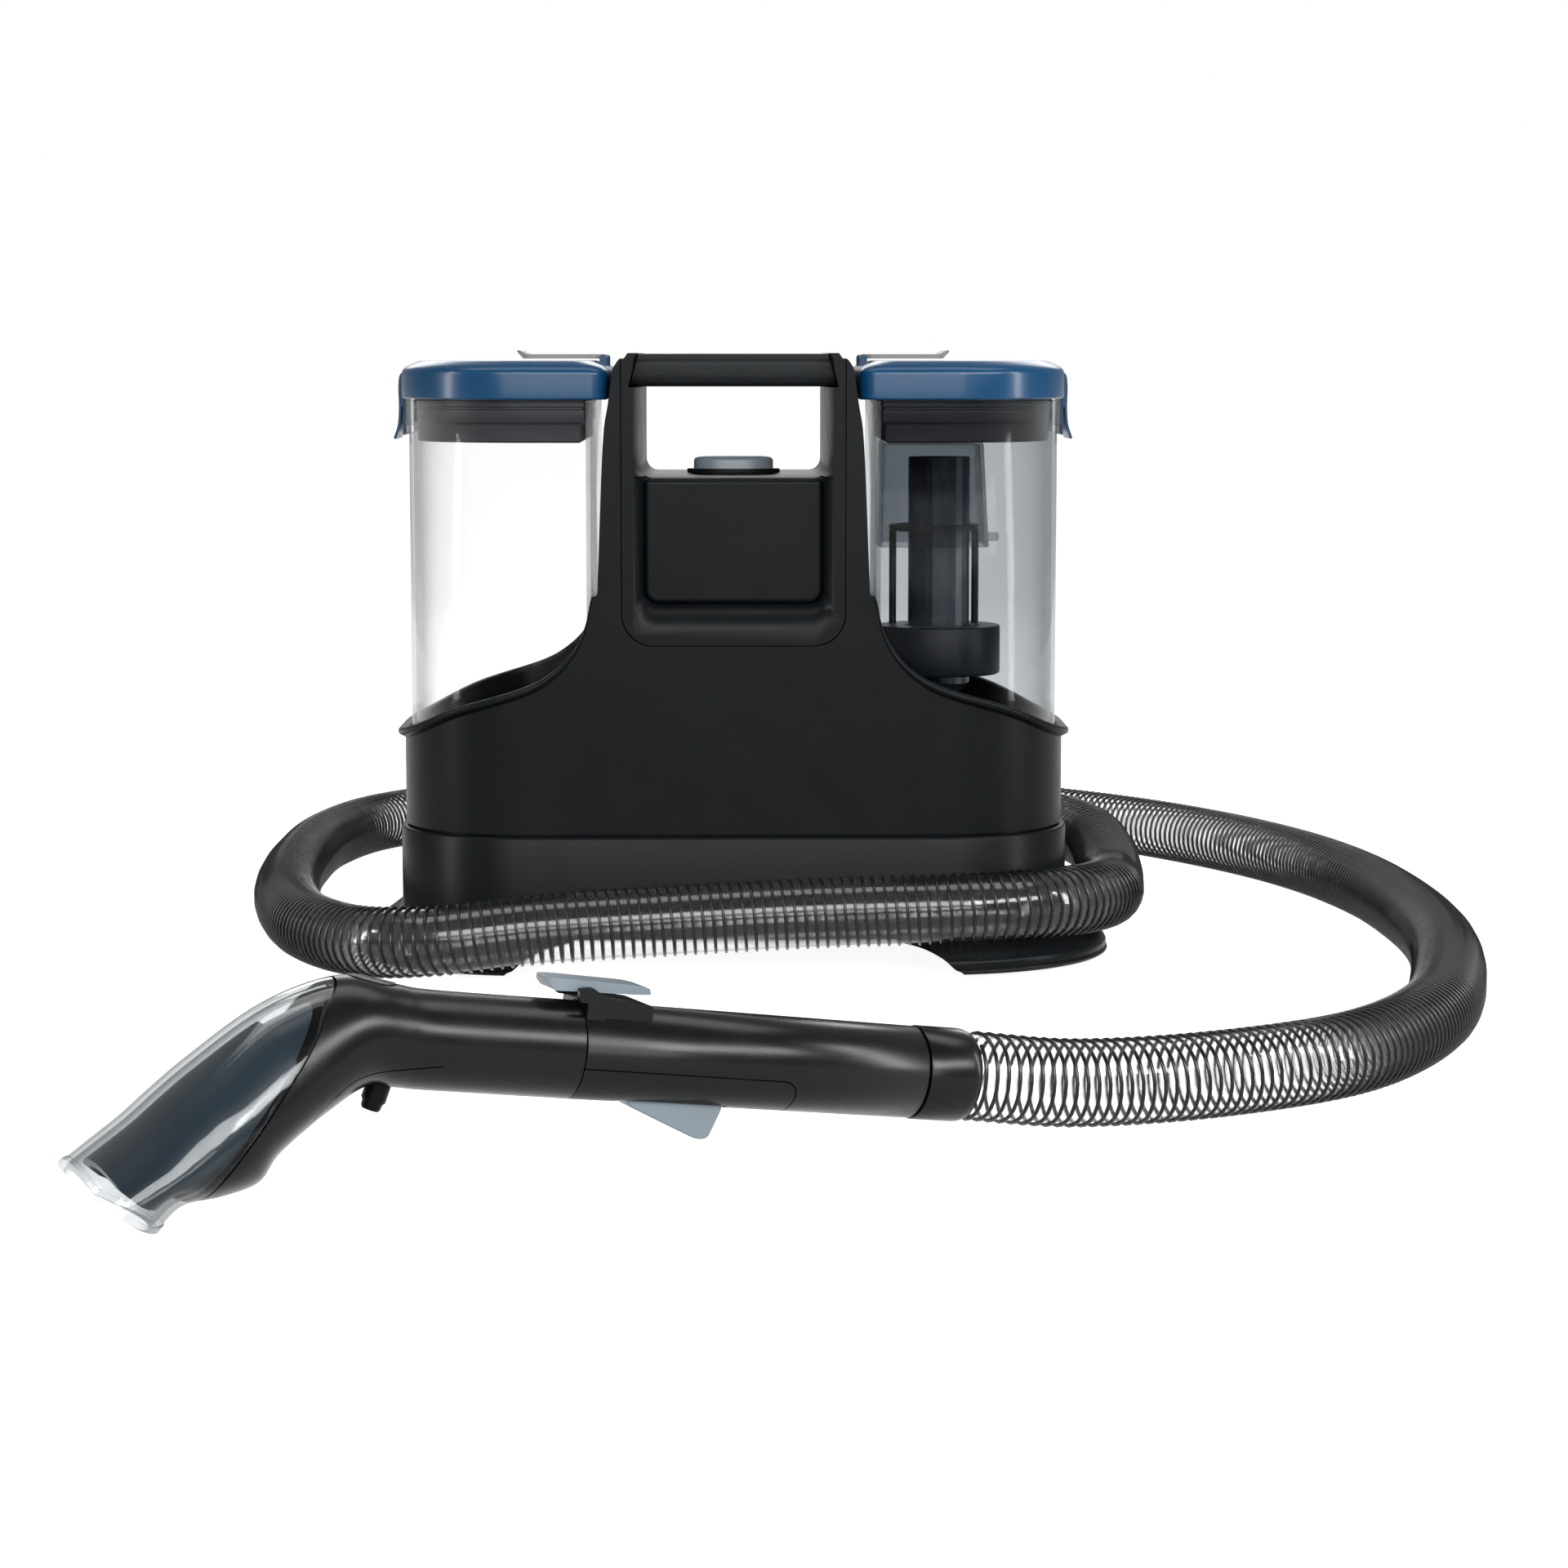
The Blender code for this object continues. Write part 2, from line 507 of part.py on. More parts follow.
def air_and_dirt():
    """The duct from the hose port to the dirty tank, the air duct from the lid and the exhaust."""
    duct = [(0, 0.0880, 0.048), (0, 0.079, 0.048), (0.020, 0.069, 0.0470), (0.050, 0.055, 0.0440),
            (0.085, 0.038, 0.0440), (0.106, 0.020, 0.048), (PIPE_X, 0.004, 0.060), (PIPE_X, 0.0, 0.0807)]
    finish(tube("inlet_duct", smooth_path(duct, 0.016), 0.011, 3), BLACK)
    finish(box("air_duct", (0.046, -0.060, 0.0835), (0.066, -0.030, 0.165)), BLACK)
    board = box("control_board", (-0.045, -0.0840, 0.100), (0.045, -0.0824, 0.150))
    for i, (x, z) in enumerate(((-0.034, 0.108), (-0.010, 0.112), (0.014, 0.130))):
        join(board, box(f"component_{i}", (x, -0.0830, z), (x + 0.018, -0.0700, z + 0.014)))
    finish(board, BOARD)
    grille = box("exhaust_grille", (0.040, 0.0905, 0.032), (0.090, 0.0945, 0.060))
    for i in range(6):
        x = 0.0445 + 0.0075 * i
        cut(grille, box(f"slot_{i}", (x, 0.08, 0.036), (x + 0.0035, 0.11, 0.056)))
    finish(grille, BLACK)
    inlet = box("mains_inlet", (-0.090, 0.0760, 0.037), (-0.060, 0.0945, 0.059))
    recess = rounded((-0.0845, 0.0415), (-0.0655, 0.0545), 0.006, 4)
    cut(inlet, plate("plug_recess", recess, 0.080, 0.1, "Y"))
    for x in (-0.0790, -0.0710):
        join(inlet, rod("plug_pin", (x, 0.079, 0.048), (x, 0.0925, 0.048), 0.0012, segments=10))
    finish(inlet, BLACK)


def docks():
    """The rubber seats that the two tanks press on."""
    for name, x, inner in (("clean_dock_seal", -VALVE_X, 0.0072), ("dirty_dock_seal", PIPE_X, 0.0117)):
        profile = [(inner + 0.006, TANK_LOW - GAP), (inner + 0.008, DECK_Z + GAP), (inner, DECK_Z + GAP),
                   (inner, TANK_LOW - GAP)]
        finish(turned(name, profile, (x, 0)), RUBBER)


# Tanks

def tank_shell(name, side):
    outer = end_plan(side, TANK_IN, TANK_OUT, TANK_Y, TANK_R)
    inner = end_plan(side, TANK_IN + WALL, TANK_OUT - WALL, TANK_Y - WALL, TANK_R - WALL, 0.0055)
    tank = plate(name, outer, TANK_LOW, TANK_TOP)
    catch = (side * (TANK_OUT - 0.001), -0.016, 0.286), (side * (TANK_OUT + 0.002), 0.016, 0.290)
    low = tuple(map(min, *catch))
    high = tuple(map(max, *catch))
    join(tank, box("latch_catch", low, high))
    return cut(tank, plate("tank_room", inner, TANK_LOW + 0.003, TANK_TOP + 0.01))


def clean_tank():
    tank = tank_shell("clean_tank", -1)
    cut(tank, rod("valve_hole", (-VALVE_X, 0, 0.08), (-VALVE_X, 0, 0.1), 0.005))
    finish(tank, CLEAR)
    valve = [(0.0085, 0.0990), (0.0085, 0.0938), (0.0035, 0.0938), (0.0035, 0.0905), (0.0, 0.0905),
             (0.0, 0.0990)]
    finish(turned("clean_valve", valve, (-VALVE_X, 0)), BLACK)


def dirty_tank():
    tank = tank_shell("dirty_tank", 1)
    cut(tank, rod("pipe_hole", (PIPE_X, 0, 0.08), (PIPE_X, 0, 0.1), PIPE_LOW_R - PIPE_WALL))
    finish(tank, SMOKE)
    low = TANK_LOW + 0.003 + GAP
    step = 0.148
    profile = [(PIPE_R, 0.2725), (PIPE_R, step), (PIPE_LOW_R, step - 0.006), (PIPE_LOW_R, low),
               (PIPE_LOW_R - PIPE_WALL, low), (PIPE_LOW_R - PIPE_WALL, step - 0.005),
               (PIPE_R - PIPE_WALL, step + 0.001), (PIPE_R - PIPE_WALL, 0.2725)]
    finish(turned("standpipe", profile, (PIPE_X, 0)), SMOKE)


def lid(name, side):
    """A shallow cap with a crowned top, a port under the flap, and lugs for the flap and the latch."""
    def ring(inset):
        return end_plan(side, LID_IN + inset, LID_OUT - inset, LID_Y - inset, LID_R - inset, 0.010)

    cap = stack(name, (LID_LOW, ring(0)), (LID_EDGE - 0.0020, ring(0)), (LID_EDGE, ring(0.0010)),
                (LID_EDGE + 0.0016, ring(0.0040)), (LID_TOP, ring(0.0090)))
    room = end_plan(side, LID_IN + 0.003, LID_OUT - 0.003, LID_Y - 0.003, LID_R - 0.003, 0.007)
    cut(cap, plate("lid_room", room, LID_LOW - 0.01, SEAL_HIGH + 0.0005))
    port = rounded((PORT_IN, -PORT_Y), (PORT_OUT, PORT_Y), 0.006, 3)
    cut(cap, plate("lid_port", mirrored(port, side), 0.30, 0.34))
    for face in (-1, 1):
        ends = sorted((face * 0.0268, face * 0.0298))
        lug = rounded((FLAP_PIVOT_X - 0.0022, LID_TOP - 0.004),
                      (FLAP_PIVOT_X + 0.0022, FLAP_Z + 0.0028), 0.002, 3)
        join(cap, plate("flap_lug", mirrored(lug, side), *ends, "Y"))
        ends = sorted((face * (LATCH_Y + 0.0005), face * (LATCH_Y + 0.0035)))
        ear = rounded((LID_OUT - 0.003, LATCH_PIVOT[1] - 0.0035),
                      (LATCH_PIVOT[0] + 0.002, LATCH_PIVOT[1] + 0.003), 0.0015, 3)
        join(cap, plate("latch_ear", mirrored(ear, side), *ends, "Y"))
    return finish(cap, BLUE)


def flap(name, side):
    """The hinged cover of the lid's port, with an upturned finger lip."""
    leaf = rounded((FLAP_PIVOT_X - 0.001, FLAP_Z), (FLAP_OUT, FLAP_Z + 0.0024), 0.0010, 2)
    made = plate(name, mirrored(leaf, side), -0.0262, 0.0262, "Y")
    lip = [(FLAP_OUT - 0.005, FLAP_Z + 0.001), (FLAP_OUT - 0.0005, FLAP_Z + 0.001),
           (FLAP_OUT + 0.0012, 0.3306), (FLAP_OUT - 0.0008, 0.3306)]
    join(made, plate("finger_lip", mirrored(lip, side), -0.020, 0.020, "Y"))
    return finish(made, GREY, (side * FLAP_PIVOT_X, 0, FLAP_Z + 0.0012))


def latch(name, side):
    """The strap over the lid's end, flared at its tip, with a leg that reaches the catch on the tank."""
    right = [(0.1822, 0.3200), (0.1845, 0.3188), (0.1853, 0.3090), (0.1849, 0.3000), (0.1857, 0.2905),
             (0.1878, 0.2832), (0.1862, 0.2826), (0.1840, 0.2895), (0.1833, 0.2960), (0.1832, 0.3000),
             (0.1812, 0.3000), (0.1812, 0.2850), (0.1794, 0.2850), (0.1794, 0.3030), (0.1810, 0.3044),
             (0.1818, 0.3060), (0.1818, 0.3190)]
    strap = plate(name, mirrored(list(reversed(right)), side), -LATCH_Y, LATCH_Y, "Y")
    return finish(strap, BLUE, (side * LATCH_PIVOT[0], 0, LATCH_PIVOT[1]))


def lid_seal(name, side, floor):
    """The stepped black collar that plugs the tank's mouth, with a floor under the dirty side's."""
    def ring(inset):
        return end_plan(side, TANK_IN + WALL + inset, TANK_OUT - WALL - inset, TANK_Y - WALL - inset,
                        TANK_R - WALL - inset, 0.0055)

    collar = stack(name, (SEAL_LOW, ring(0.0022)), (SEAL_STEP, ring(0.0022)),
                   (SEAL_STEP + 0.0001, ring(0.0006)), (SEAL_HIGH, ring(0.0006)))
    low = SEAL_LOW + 0.0025 if floor else SEAL_LOW - 0.01
    cut(collar, plate("seal_room", ring(0.0046), low, SEAL_HIGH + 0.01))
    if floor:
        cut(collar, box("air_gap", (0.142, -0.020, 0.27), (0.162, 0.020, 0.30)))
        cut(collar, box("pour_gap", (0.082, -0.060, 0.27), (0.130, -0.038, 0.30)))
    return finish(collar, RUBBER)


def separator():
    """The hood over the standpipe's mouth, open below."""
    top, bottom = 0.2815, 0.224
    sections = ((bottom, (0.0790, 0.1395, 0.033)), (top, (0.0805, 0.1365, 0.029)))
    outer = [(z, rounded((x0, -y), (x1, y), 0.008, 4)) for z, (x0, x1, y) in sections]
    hood = stack("separator_hood", *outer)
    low = (bottom - 0.002, rounded((0.0808, -0.0312), (0.1378, 0.0312), 0.0065, 4))
    high = (top - 0.002, rounded((0.0823, -0.0272), (0.1348, 0.0272), 0.0065, 4))
    cut(hood, stack("hood_room", low, high))
    join(hood, rod("guide_pin", (0.1385, 0, 0.2285), (0.1465, 0, 0.2285), 0.0025, segments=12))
    finish(hood, SMOKE)


def float_valve():
    """A ring that floats up around the standpipe and carries a yoke on two rods."""
    finish(sleeve("float_ring", (PIPE_X, 0), FLOAT_R, FLOAT_IN, FLOAT_LOW, FLOAT_HIGH, 32), BLACK)
    for name, x in zip(("float_rod_left", "float_rod_right"), ROD_X):
        finish(rod(name, (x, 0, FLOAT_HIGH + GAP), (x, 0, YOKE_LOW - GAP), ROD_R, segments=12), BLACK)
    finish(sleeve("float_yoke", (YOKE_X, 0), YOKE_R, YOKE_IN, YOKE_LOW, YOKE_HIGH, 28), BLACK)


# Hose

def hose():
    """The swivel elbow on the back of the skirt, and the hose along its route."""
    flange_y = SKIRT_Y + GAP
    bend = arc((PORT_END[0] - 0.010, flange_y + 0.0552), 0.045, 180, 90, 8)
    path = [(0, flange_y + 0.002, PORT_Z - 0.004), (0, flange_y + 0.030, PORT_Z - 0.003)]
    path += [(x, y, PORT_Z) for x, y in bend[2:]] + [(PORT_END[0] - GAP, PORT_END[1], PORT_Z)]
    port = tube("hose_port", path, HOSE_R + 0.0015, 4)
    join(port, rod("port_flange", (0, flange_y, 0.047), (0, flange_y + 0.004, 0.047), 0.0245))
    bore = [(0, flange_y - 0.01, PORT_Z - 0.004)] + path[1:-1] + [(PORT_END[0] + 0.01, PORT_END[1], PORT_Z)]
    finish(cut(port, tube("port_bore", bore, 0.0155, 3)), BLACK)
    path = smooth_path(HOSE_ROUTE, HOSE_STEP)
    finish(tube("suction_hose", path, HOSE_R, 3), HOSE)


# Wand and tool, built along +X of their own frame and then set down beside the machine

def wand_frame():
    frame = bpy.data.objects.new("wand_frame", None)
    side = Vector((0, 0, 1)).cross(ALONG).normalized()
    matrix = Matrix((ALONG, side, ALONG.cross(side))).transposed().to_4x4()
    frame.matrix_world = Matrix.Translation(WAND_END) @ matrix
    PARTS.objects.link(frame)
    return frame


def on_wand(frame, *objects):
    """Parents the objects and their Boolean tools to the wand's frame."""
    for obj in objects:
        obj.parent = frame
        on_wand(frame, *(m.object for m in obj.modifiers if m.type == "BOOLEAN"))


def wand_tube(name, start, end, inset=0.0):
    radii = [WAND_R0 + (WAND_R1 - WAND_R0) * s / SEAM_S - inset for s in (start, end)]
    return rod(name, (start, 0, 0), (end, 0, 0), radii[0], radii[1], segments=28)


def wand(frame):
    cuff = rod("hose_cuff", (0, 0, 0), (CUFF_S, 0, 0), CUFF_R, segments=28)
    cut(cuff, rod("cuff_bore", (-0.01, 0, 0), (0.05, 0, 0), 0.0160))
    finish(cuff, BLACK)

    start = CUFF_S + GAP
    upper = wand_tube("wand_shell_upper", start, SEAM_S)
    holder = rounded((0.1500, 0.0170), (0.1775, 0.0213), 0.0015, 2)
    join(upper, plate("lever_holder", holder, -0.010, 0.010, "Y"))
    ear = [(0.1690, 0.0130), (0.1778, 0.0130), (0.1778, 0.0205), (0.1815, 0.0205), (0.1815, 0.0268),
           (0.1740, 0.0268)]
    for ends in ((-0.0135, -0.0110), (0.0110, 0.0135)):
        join(upper, plate("lever_ear", ear, *ends, "Y"))
    join(upper, rod("spigot", (SEAM_S - 0.01, 0, 0), (SPIGOT_S, 0, 0), 0.0165, segments=28))
    cut(upper, rod("wand_bore", (0, 0, 0), (0.25, 0, 0), 0.0145))
    cut(upper, box("wand_room", (start + 0.004, -0.0145, -0.0165), (SEAM_S - 0.012, 0.0145, 0.010)))
    cut(upper, box("grip_seat", (SPLIT_S, -0.03, -0.03), (SEAM_S - 0.0004, 0.03, SPLIT_H)))
    finish(upper, BLACK)

    lower = wand_tube("wand_shell_lower", SPLIT_S + GAP, SEAM_S - 0.0007)
    cut(lower, wand_tube("lower_bore", 0.05, 0.20, WAND_WALL))
    cut(lower, box("above_split", (0.05, -0.03, SPLIT_H - GAP), (0.20, 0.03, 0.03)))
    cut(lower, box("spigot_room", (SEAM_S - 0.013, -0.0168, -0.0168), (SEAM_S + 0.01, 0.0168, 0.03)))
    cut(lower, box("trigger_slot", (0.1085, -0.0078, -0.03), (0.1575, 0.0078, -0.005)))
    finish(lower, BLACK)

    blade = [(0.1555, -0.0165), (0.1519, -0.0200), (0.1215, -0.0315), (0.1180, -0.0312), (0.1115, -0.0185),
             (0.1115, -0.0120), (0.1519, -0.0120)]
    trigger = plate("trigger", list(reversed(blade)), -0.0070, 0.0070, "Y")
    finish(trigger, SLATE, (TRIGGER_PIVOT[0], 0, TRIGGER_PIVOT[1]))
    finish(rod("trigger_valve", (0.092, 0, 0.0040), (0.140, 0, 0.0040), 0.0048, segments=16), STEEL)

    lever_plan = [(0.1495, 0.0257), (0.1520, 0.0287), (0.1830, 0.0290), (0.1923, 0.0268), (0.1923, 0.0236),
                  (0.1890, 0.0236), (0.1860, 0.0250), (0.1780, 0.0245), (0.1560, 0.0252)]
    lever = plate("latch_lever", list(reversed(lever_plan)), -0.0105, 0.0105, "Y")
    finish(lever, SLATE, (LEVER_PIVOT[0], 0, LEVER_PIVOT[1]))
    on_wand(frame, cuff, upper, lower, trigger, bpy.data.objects["trigger_valve"], lever)


def head_section(s, h, down, half_h, half_w, inset=0.0, steps=24):
    """A rounded section of the tool's head, square to a line that points down by an angle in degrees."""
    down = math.radians(down)
    points = []
    for i in range(steps):
        angle = 2 * math.pi * i / steps
        across = (half_w - inset) * math.cos(angle)
        up = (half_h - inset) * math.sin(angle)
        points.append((s + up * math.sin(down), across, h + up * math.cos(down)))
    return points


def head(name, inset=0.0, past=0.0):
    """The head and neck of the tool as one solid, or the room inside it."""
    sections = [head_section(*section, inset) for section in TOOL_SECTIONS]
    first = (SEAM_S + GAP - past, 0.0, 0.0, WAND_R1, WAND_R1)
    sections.insert(0, head_section(*first, inset))
    if past:
        s, h, *mouth = TOOL_SECTIONS[-1]
        lean = math.radians(mouth[0])
        sections.append(head_section(s + past * math.cos(lean), h - past * math.sin(lean), *mouth, inset))
    return loft(name, sections)


def seam_side(name, seam, corners, reach=0.06):
    """The region on one side of a seam line, as a plate across the tool."""
    return plate(name, seam + corners, -reach, reach, "Y")


def shifted(points, ds, dh):
    return [(s + ds, h + dh) for s, h in points]


def tool(frame):
    front = [(0.45, -0.0850), (0.45, 0.0330)]
    below = [(0.2368, -0.12)]
    upper = cut(head("tool_shell_upper"), head("head_room", 0.0025, 0.01))
    cut(upper, rod("neck_bore", (0.16, 0, 0), (0.24, 0, 0), 0.0169, segments=28))
    cut(upper, seam_side("window_side", shifted(WINDOW_SEAM, -GAP, -GAP), front))
    cut(upper, seam_side("lower_side", shifted(LOWER_SEAM, 0, GAP), below))
    cut(upper, box("catch_seat", (0.2535, -0.0078, 0.0165), (0.2745, 0.0078, 0.04)))
    finish(upper, BLACK)

    lower = keep(head("tool_shell_lower"), seam_side("lower_part", LOWER_SEAM, below))
    cut(lower, head("lower_room", 0.0025, 0.01))
    cut(lower, seam_side("window_side_low", shifted(WINDOW_SEAM, -GAP, -GAP), front))
    cut(lower, rod("spray_seat", (0.2545, 0, -0.0140), (0.2585, 0, -0.0300), 0.0052, segments=16))
    finish(lower, BLACK)

    window = keep(head("nozzle_window"), seam_side("window_part", WINDOW_SEAM, front))
    cut(window, head("window_room", 0.0025, 0.01))
    finish(window, WINDOW)

    channel = keep(head("tool_channel", 0.0033), seam_side("channel_part", CHANNEL, []))
    cut(channel, head("channel_room", 0.0052, 0.01))
    finish(channel, BLACK)

    thumb = rounded((0.2540, 0.0170), (0.2735, 0.0262), 0.002, 3)
    catch = plate("window_catch", thumb, -0.0072, 0.0072, "Y")
    finish(catch, BLACK, (0.2637, 0, 0.0216))
    spray = rod("spray_nozzle", (0.2553, 0, -0.0172), (0.2580, 0, -0.0285), 0.0046, 0.0036, segments=16)
    finish(spray, BLACK)
    on_wand(frame, upper, lower, window, channel, catch, spray)


main_housing()
lower_housing()
handle_frame()
handle_grip()
pocket_panels()
feet()
button()
motor()
water_system()
air_and_dirt()
docks()
clean_tank()
dirty_tank()
for prefix, end in (("clean", -1), ("dirty", 1)):
    lid(f"{prefix}_lid", end)
    lid_seal(f"{prefix}_lid_seal", end, floor=end > 0)
    flap(f"{prefix}_flap", end)
    latch(f"{prefix}_latch", end)
separator()
float_valve()
hose()
held = wand_frame()
wand(held)
tool(held)
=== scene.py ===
"""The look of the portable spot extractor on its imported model, in metres, +Z up.

The origin is the centre of the machine's footprint on the floor, the front faces -Y,
the clean water tank is on the -X side and the dirty water tank on the +X side.
"""

import math

import bmesh
import bpy
from mathutils import Matrix, Vector


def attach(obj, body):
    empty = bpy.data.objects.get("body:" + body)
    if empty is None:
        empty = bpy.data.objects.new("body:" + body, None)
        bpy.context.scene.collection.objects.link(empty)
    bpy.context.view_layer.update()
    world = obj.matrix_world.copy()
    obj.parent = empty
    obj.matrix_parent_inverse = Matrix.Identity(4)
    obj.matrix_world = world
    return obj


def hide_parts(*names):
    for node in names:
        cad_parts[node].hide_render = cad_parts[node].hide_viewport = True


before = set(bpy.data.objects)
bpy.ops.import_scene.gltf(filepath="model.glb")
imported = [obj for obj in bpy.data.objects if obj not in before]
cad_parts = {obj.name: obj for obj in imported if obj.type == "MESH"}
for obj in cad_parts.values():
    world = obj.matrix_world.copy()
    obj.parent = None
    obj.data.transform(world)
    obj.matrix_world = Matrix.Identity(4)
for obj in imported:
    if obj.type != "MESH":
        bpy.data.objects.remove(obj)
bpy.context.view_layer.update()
scene = bpy.context.scene

# Housing
GAP, FIT, WALL = 0.0003, 0.0002, 0.0025
THROUGH = (-0.12, 0.12)  # from one side of the machine to past the other
BODY_X, BODY_Y, BODY_R = 0.18, 0.0925, 0.07
SKIRT_X, SKIRT_Y, SKIRT_R = 0.1825, 0.0945, 0.072
FLOOR_Z, SEAM_Z, SEAM = 0.018, 0.0728, 0.0015
DECK_Z, DECK_T, TOP_Z = 0.084, 0.003, 0.3293
COLUMN_IN, POST_X = 0.0733, 0.0591
FRAME_X, FRAME_Z, FRAME_R = 0.0594, 0.1749, 0.017
OPEN_LOW, OPEN_HIGH, OPEN_X, CROWN, GRIP_X, GRIP_TOP_X = 0.2633, 0.3113, 0.053, 0.0042, 0.0553, 0.0505
POCKET_X, POCKET_LOW, POCKET_DEEP = 0.053, 0.1835, 0.011
PANEL_X, PANEL_LOW = 0.0475, 0.1968
BUTTON_HOLE = (0.0225, 0.0125)
SWOOP = [  # the rim of a tank well seen from the front, from the column out
    (0.0747, 0.201), (0.0761, 0.196), (0.079, 0.183), (0.0856, 0.17), (0.096, 0.1595),
    (0.1115, 0.151), (0.146, 0.14), (0.169, 0.129), (0.18, 0.124),
]
LIP_R = 0.0021
FOOT_X, FOOT_Y, FOOT_R, FOOT_IN = 0.206, 0.122, 0.098, 0.1
FOOT_LOW, FOOT_EDGE, FOOT_TOP = 0.0025, 0.0105, 0.0265

# Tanks and lids, and what passes through the floor of each well
TANK_IN, TANK_OUT, TANK_Y, TANK_R = 0.0755, 0.1763, 0.0888, 0.0663
TANK_LOW, TANK_TOP = 0.0905, 0.304
LID_IN, LID_OUT, LID_Y, LID_R = 0.0665, 0.18, 0.0915, 0.069
LID_LOW, LID_EDGE, LID_TOP, LID_WALL = 0.3048, 0.3215, 0.3252, 0.003
SEAL_LOW, SEAL_STEP, SEAL_HIGH = 0.282, 0.2925, 0.318
PORT_IN, PORT_OUT, PORT_Y = 0.078, 0.106, 0.022
FLAP_OUT, FLAP_Z, FLAP_PIVOT_X = 0.117, 0.3263, 0.0705
LATCH_Y = 0.02
OUTLET_X, PIPE_X = -0.115, 0.1135

# Hose and wand: s runs along the wand's axis from the hose end, h is up from the axis
HOSE_R, RIB_R, RIB_PITCH = 0.019, 0.0009, 0.0054
PORT_Z, PORT_END = 0.052, (0.055, 0.195)
PORT_MOUTH_Z = PORT_Z - 0.004
WAND_END, WAND_YAW, WAND_TILT = (0.0953, -0.5396, 0.0294), math.radians(24), math.radians(7.95)
CUFF_S, CUFF_R, SEAM_S, THUMB_S = 0.0247, 0.0195, 0.1783, 0.2637
WAND_R0, WAND_R1, WAND_WALL, WAND_BORE, SHELL_GAP = 0.019, 0.0197, 0.0025, 0.0145, 0.0005
SPLIT_S, SPLIT_H = 0.0835, -0.0046
WAND_STEPS, WAND_THROUGH, TOOL_THROUGH = 96, (-0.03, 0.03), (-0.06, 0.06)
TOOL_SECTIONS = [
    # s, h, tilt down in degrees, height above the centre, height below it, half width
    (SEAM_S + GAP, 0.0, 0.0, WAND_R1, WAND_R1, WAND_R1), (0.2369, 0.0, 0.0, 0.0197, 0.0197, 0.0197),
    (0.252, 0.0006, 4.0, 0.0205, 0.02, 0.0203), (0.269, 0.0, 18.0, 0.024, 0.0205, 0.023),
    (0.289, -0.013, 36.0, 0.0282, 0.0203, 0.0285), (0.311, -0.032, 48.0, 0.0282, 0.021, 0.0345),
    (0.3228, -0.0418, 51.5, 0.0267, 0.0262, 0.0362), (0.3345, -0.0515, 55.0, 0.0247, 0.0215, 0.0372),
    (0.3457, -0.0591, 58.5, 0.0226, 0.0152, 0.0377), (0.3568, -0.0666, 62.0, 0.0206, 0.0195, 0.0378),
]

# Lines seen from the wand's side, as (s, h): the tool's open end, the edge of its window, the two parts of the
# channel inside the window, and the edge of the lower shell
MOUTH = [(0.3781, -0.0445), (0.3748, -0.052), (0.3735, -0.057), (0.3685, -0.064), (0.359, -0.0708),
         (0.3475, -0.0752), (0.336, -0.0765)]
WINDOW_SEAM = [(0.2787, 0.033), (0.2787, 0.0248), (0.287, 0.011), (0.2967, -0.0088), (0.3387, -0.0757),
               (0.343, -0.085)]
CHANNEL_HIGH = [(0.2791, 0.033), (0.2791, 0.0249), (0.2874, 0.0112), (0.2971, -0.0086), (0.301, -0.015),
                (0.32, 0.005), (0.33, 0.033)]
CHANNEL_LOW = [(0.3345, -0.0679), (0.2971, -0.0086), (0.316, 0.014), (0.34, 0.03), (0.39, -0.038),
               (0.368, -0.048), (0.365, -0.0545), (0.361, -0.0605), (0.354, -0.065), (0.345, -0.0676)]
LOWER_SEAM = [(0.2368, -0.0078), (0.2654, -0.0125), (0.278, -0.019), (0.2885, -0.0315), (0.3016, -0.056),
              (0.318, -0.07), (0.33, -0.08)]

ALONG = Vector((-math.cos(WAND_YAW) * math.cos(WAND_TILT), -math.sin(WAND_YAW) * math.cos(WAND_TILT),
                math.sin(WAND_TILT)))
HOSE_ROUTE = [
    (0.0556, 0.195, 0.052), (0.095, 0.195, 0.052), (0.145, 0.19, 0.051), (0.188, 0.164, 0.049),
    (0.21, 0.118, 0.045), (0.2135, 0.06, 0.039), (0.21, 0.0, 0.035), (0.201, -0.056, 0.037),
    (0.1735, -0.0975, 0.0385), (0.126, -0.1185, 0.0385), (0.04, -0.1205, 0.036), (-0.04, -0.125, 0.0325),
    (-0.105, -0.13, 0.029), (-0.155, -0.131, 0.0235), (-0.196, -0.111, 0.02),
    (-0.229, -0.058, 0.0193), (-0.249, 0.015, 0.0192), (-0.261, 0.105, 0.0192), (-0.265, 0.21, 0.0192),
    (-0.26, 0.32, 0.0192), (-0.235, 0.416, 0.0192), (-0.178, 0.486, 0.0192), (-0.09, 0.526, 0.0192),
    (0.01, 0.535, 0.0192), (0.11, 0.515, 0.0192), (0.195, 0.465, 0.0192), (0.262, 0.392, 0.0192),
    (0.315, 0.3, 0.0192), (0.35, 0.205, 0.0192), (0.37, 0.1, 0.0192), (0.3765, -0.01, 0.0192),
    (0.373, -0.12, 0.0192), (0.357, -0.23, 0.0192), (0.329, -0.34, 0.0192), (0.28, -0.43, 0.0192),
    (0.213, -0.483, 0.0193),
] + [tuple(Vector(WAND_END) - back * ALONG) for back in (0.056, 0.0008)]


# Camera, lights and floor

LENS, SENSOR = 87.17, 36
CAMERA_PLACE, CAMERA_DIP, CAMERA_TURN = (0, -2.1, 0.328), 6.44, -0.76
SURROUND, SURROUND_SEEN = 0.42, 1.0  # how bright the white surround is as a light and to the camera
FLOOR_GREY, FLOOR_GLOW = 0.25, 0.93


def placed(name, data):
    """A new object in the scene that shows some data."""
    made = bpy.data.objects.new(name, data)
    scene.collection.objects.link(made)
    return made


